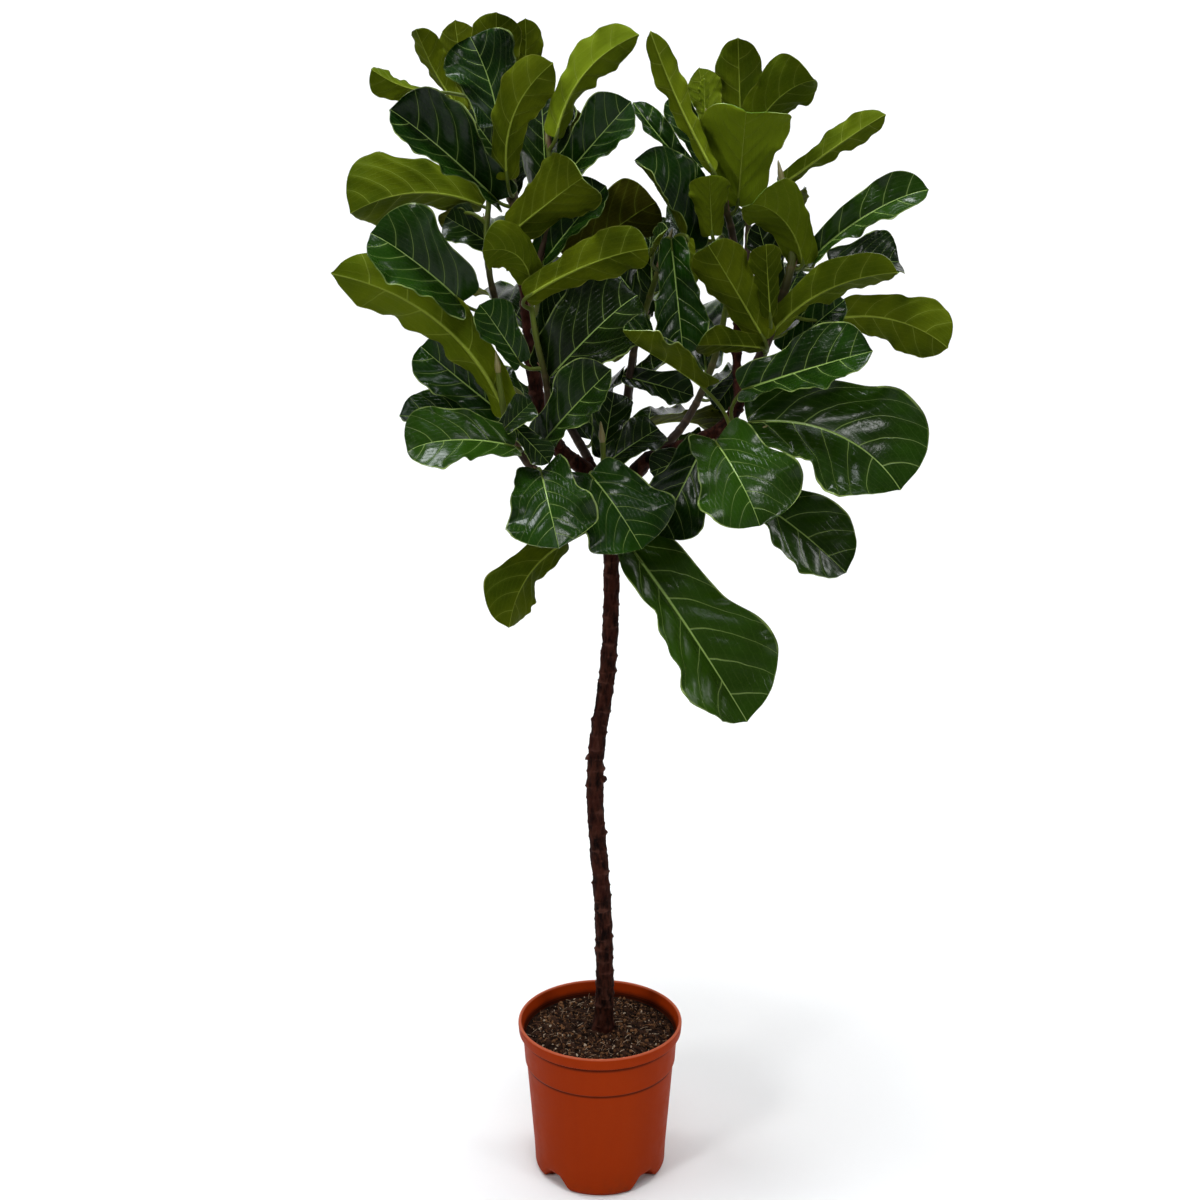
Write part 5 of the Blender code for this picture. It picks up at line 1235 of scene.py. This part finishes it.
def plastic_paint():
    """Terracotta-coloured plastic with a soft sheen: flow streaks and dust, painted shade under its
    steps and on the inner wall, and a painted highlight along the rim's top edge.
    """
    paint = Paint("terracotta_plastic", 0.42, 0.03)
    x, y, z = paint.parts(paint.place())
    streaks = paint.noise(26.0, rise=0.08)
    mottle = paint.noise(420.0, 2.0)
    dust = paint.noise(60.0, 5.0, 0.65)
    colour = paint.mix(streaks, (0.235, 0.019, 0.0006), (0.30, 0.028, 0.0010))
    colour = paint.over(colour, (0.42, 0.07, 0.012), mottle, 0.12)
    low = paint.times(paint.span(z, 0.05, 0.0), paint.span(dust, 0.45, 0.75))
    colour = paint.over(colour, (0.10, 0.025, 0.010), low, 0.35)
    across = paint.node("ShaderNodeCombineXYZ", {0: x, 1: y})
    radius = paint.node("ShaderNodeVectorMath", {0: across}, 1, operation="LENGTH")
    outside = paint.span(radius, COLLAR_FOOT_RADIUS - 2 * WALL, COLLAR_FOOT_RADIUS - WALL)
    # Painted shade: a dark band on the outer wall just under the collar step and just under the rim
    for step, reach in ((COLLAR_FOOT, COLLAR_SHADE_REACH), (BAND, RIM_SHADE_REACH)):
        under = paint.span(z, step - reach, step - reach / 2)
        under = paint.times(under, paint.span(z, step + 0.0002, step - 0.0004))
        colour = paint.over(colour, (0.050, 0.006, 0.001), paint.times(under, outside), 0.85)
    # Painted shade on the inner wall: darker in patches from the potting mix up towards the rim
    middle = paint.span(
        z, BAND - RIM_FLARE, BAND, COLLAR_TOP_RADIUS - WALL * 0.6, RIM_RADIUS - RIM_LIP - WALL / 2)
    inner_wall_shade = paint.span(z, POT_HEIGHT - 0.006, SOIL_LEVEL)
    for share in (
            paint.span(paint.math("ADD", dust, inner_wall_shade), 0.6, 1.2),
            paint.math("LESS_THAN", radius, middle),
            paint.math("GREATER_THAN", z, SOIL_LEVEL - 0.003)):
        inner_wall_shade = paint.times(inner_wall_shade, share)
    colour = paint.over(colour, (0.020, 0.006, 0.003), inner_wall_shade, 0.8)
    # Painted highlight: a pale orange line along the top of the rim's outer edge
    wear_and_highlight = paint.times(paint.span(z, POT_HEIGHT - 0.0030, POT_HEIGHT - 0.0012), outside)
    paint.set("Base Color", paint.over(colour, (0.60, 0.17, 0.09), wear_and_highlight, 0.45))
    paint.set("Roughness", paint.span(dust, 0.3, 0.75, 0.42, 0.56))
    paint.bump(paint.math("MULTIPLY_ADD", mottle, 0.3, streaks), 0.0003, 0.5)
    return paint.material


# Stage, lights and camera

SWEEP_FRONT = -5.0
SWEEP_BACK = 3.2
SWEEP_BEND = 1.2
SWEEP_HEIGHT = 6.0
SWEEP_HALF_WIDTH = 6.0


def make_stage():
    """A pale sweep: floor, a quarter round and a wall, as one smooth sheet."""
    bend = np.linspace(0, math.pi / 2, 17)
    ahead, rise = SWEEP_BEND * (1 - np.sin(bend)), SWEEP_BEND * (1 - np.cos(bend))
    depth = np.concatenate([[SWEEP_FRONT], SWEEP_BACK - ahead, [SWEEP_BACK]])
    height = np.concatenate([[0.0], rise, [SWEEP_HEIGHT]]) - GAP
    sides = np.array([-SWEEP_HALF_WIDTH, SWEEP_HALF_WIDTH])[:, None]
    points = np.stack(np.broadcast_arrays(sides, depth, height), axis=-1).reshape(-1, 3)
    mesh = bpy.data.meshes.new("studio_sweep")
    faces = faces_of(np.arange(len(points)).reshape(2, -1))
    mesh.from_pydata(points.tolist(), [], faces.tolist())
    mesh.shade_smooth()
    paint = Paint("pale_sweep", 0.9, 0.0)
    paint.set("Base Color", (0.86, 0.86, 0.86))
    mesh.materials.append(paint.material)
    added("studio_sweep", mesh)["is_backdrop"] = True


AIR_COLOUR = (0.93, 0.96, 1.0, 1)
AIR_STRENGTH = 0.13
# Soft lamps: name, place, what each is aimed at, width and height, power, colour
LAMPS = (
    ("top_light", (-0.2, -0.3, 3.1), (0, 0, 1.2), (1.0, 0.7), 62, (0.92, 0.96, 1.0)),
    ("front_light", (0.4, -1.9, 3.1), (0, 0, 1.3), (1.4, 0.5), 14, (0.90, 0.96, 1.0)),
    ("key_light", (-1.9, -2.1, 2.6), (0, 0, 1.1), (0.6, 0.8), 38, (1, 1, 1)),
    ("fill_light", (2.3, -2.0, 1.9), (0, 0, 0.9), (0.6, 0.9), 20, (1, 1, 1)),
    ("left_wall_light", (-2.6, 1.4, 3.6), (-1.2, 3.2, 1.2), (1.2, 2.4), 80, (1, 1, 1)),
    ("right_wall_light", (2.6, 1.4, 3.6), (1.2, 3.2, 1.2), (1.2, 2.4), 80, (1, 1, 1)))


def make_lights():
    world = bpy.data.worlds.new("studio_air")
    world.use_nodes = True
    air = world.node_tree.nodes["Background"]
    air.inputs["Color"].default_value = AIR_COLOUR
    air.inputs["Strength"].default_value = AIR_STRENGTH
    bpy.context.scene.world = world
    for name, place, target, size, power, colour in LAMPS:
        lamp = bpy.data.lights.new(name, "AREA")
        lamp.shape = "RECTANGLE"
        lamp.size, lamp.size_y = size
        lamp.energy = power
        lamp.color = colour
        made = added(name, lamp)
        made.location = place
        made.rotation_euler = (Vector(target) - Vector(place)).to_track_quat("-Z", "Y").to_euler()
        made.visible_camera = False


# Where the photograph was taken from: focal length and film width in millimetres, place, tilt
FOCAL_LENGTH = 40.5
FILM_WIDTH = 36.0
CAMERA_PLACE = (0, -1.83, 1.208)
CAMERA_TILT = math.radians(79)


def make_camera():
    lens = bpy.data.cameras.new("camera")
    lens.lens = FOCAL_LENGTH
    lens.sensor_width = FILM_WIDTH
    camera = added("camera", lens)
    camera.location = CAMERA_PLACE
    camera.rotation_euler = (CAMERA_TILT, 0, 0)
    bpy.context.scene.camera = camera


def main():
    make_camera()
    make_stage()
    make_lights()
    bpy.context.scene.view_settings.view_transform = "Standard"
    upper = leaf_paint(
        "leaf_upper",
        ((0.0014, 0.0090, 0.0005), (0.0060, 0.0260, 0.0010), (0.060, 0.130, 0.006),
         (0.003, 0.006, 0.0006), (0.25, 0.36, 0.09), (0.28, 0.37, 0.10)),
        0.17, 0.16, -0.0004, 0.03, 0.35)
    under = leaf_paint(
        "leaf_under",
        ((0.022, 0.036, 0.0008), (0.063, 0.081, 0.0020), (0.110, 0.154, 0.005),
         (0.034, 0.026, 0.002), (0.20, 0.25, 0.03), (0.22, 0.24, 0.04)),
        0.50, 0.01, 0.0008, 0.08, 1.0)
    scale = streaked_paint(
        "dry_scale", 0.7, 160.0, 0.2, (0.045, 0.022, 0.010), (0.16, 0.085, 0.035))
    bud = streaked_paint("leaf_bud", 0.42, 120.0, 0.15, (0.10, 0.12, 0.025), (0.20, 0.13, 0.05))
    paints = [upper, under, green_wood_paint(), scale, bud]
    mix = mix_paint()
    lines = {name: centre_line(stem.path) for name, stem in STEMS.items()}
    make_pot_wall(plastic_paint())
    make_soil(mix)
    make_crumbs(mix)
    make_trunk(lines, bark_paint())
    for name, stem in STEMS.items():
        leafy_stem("shoot_" + name, stem, lines[name], paints)


main()
sizes = {"cad": CAD_BOX, "visual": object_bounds()}
sizes = {name: [list(corner) for corner in box] for name, box in sizes.items()}
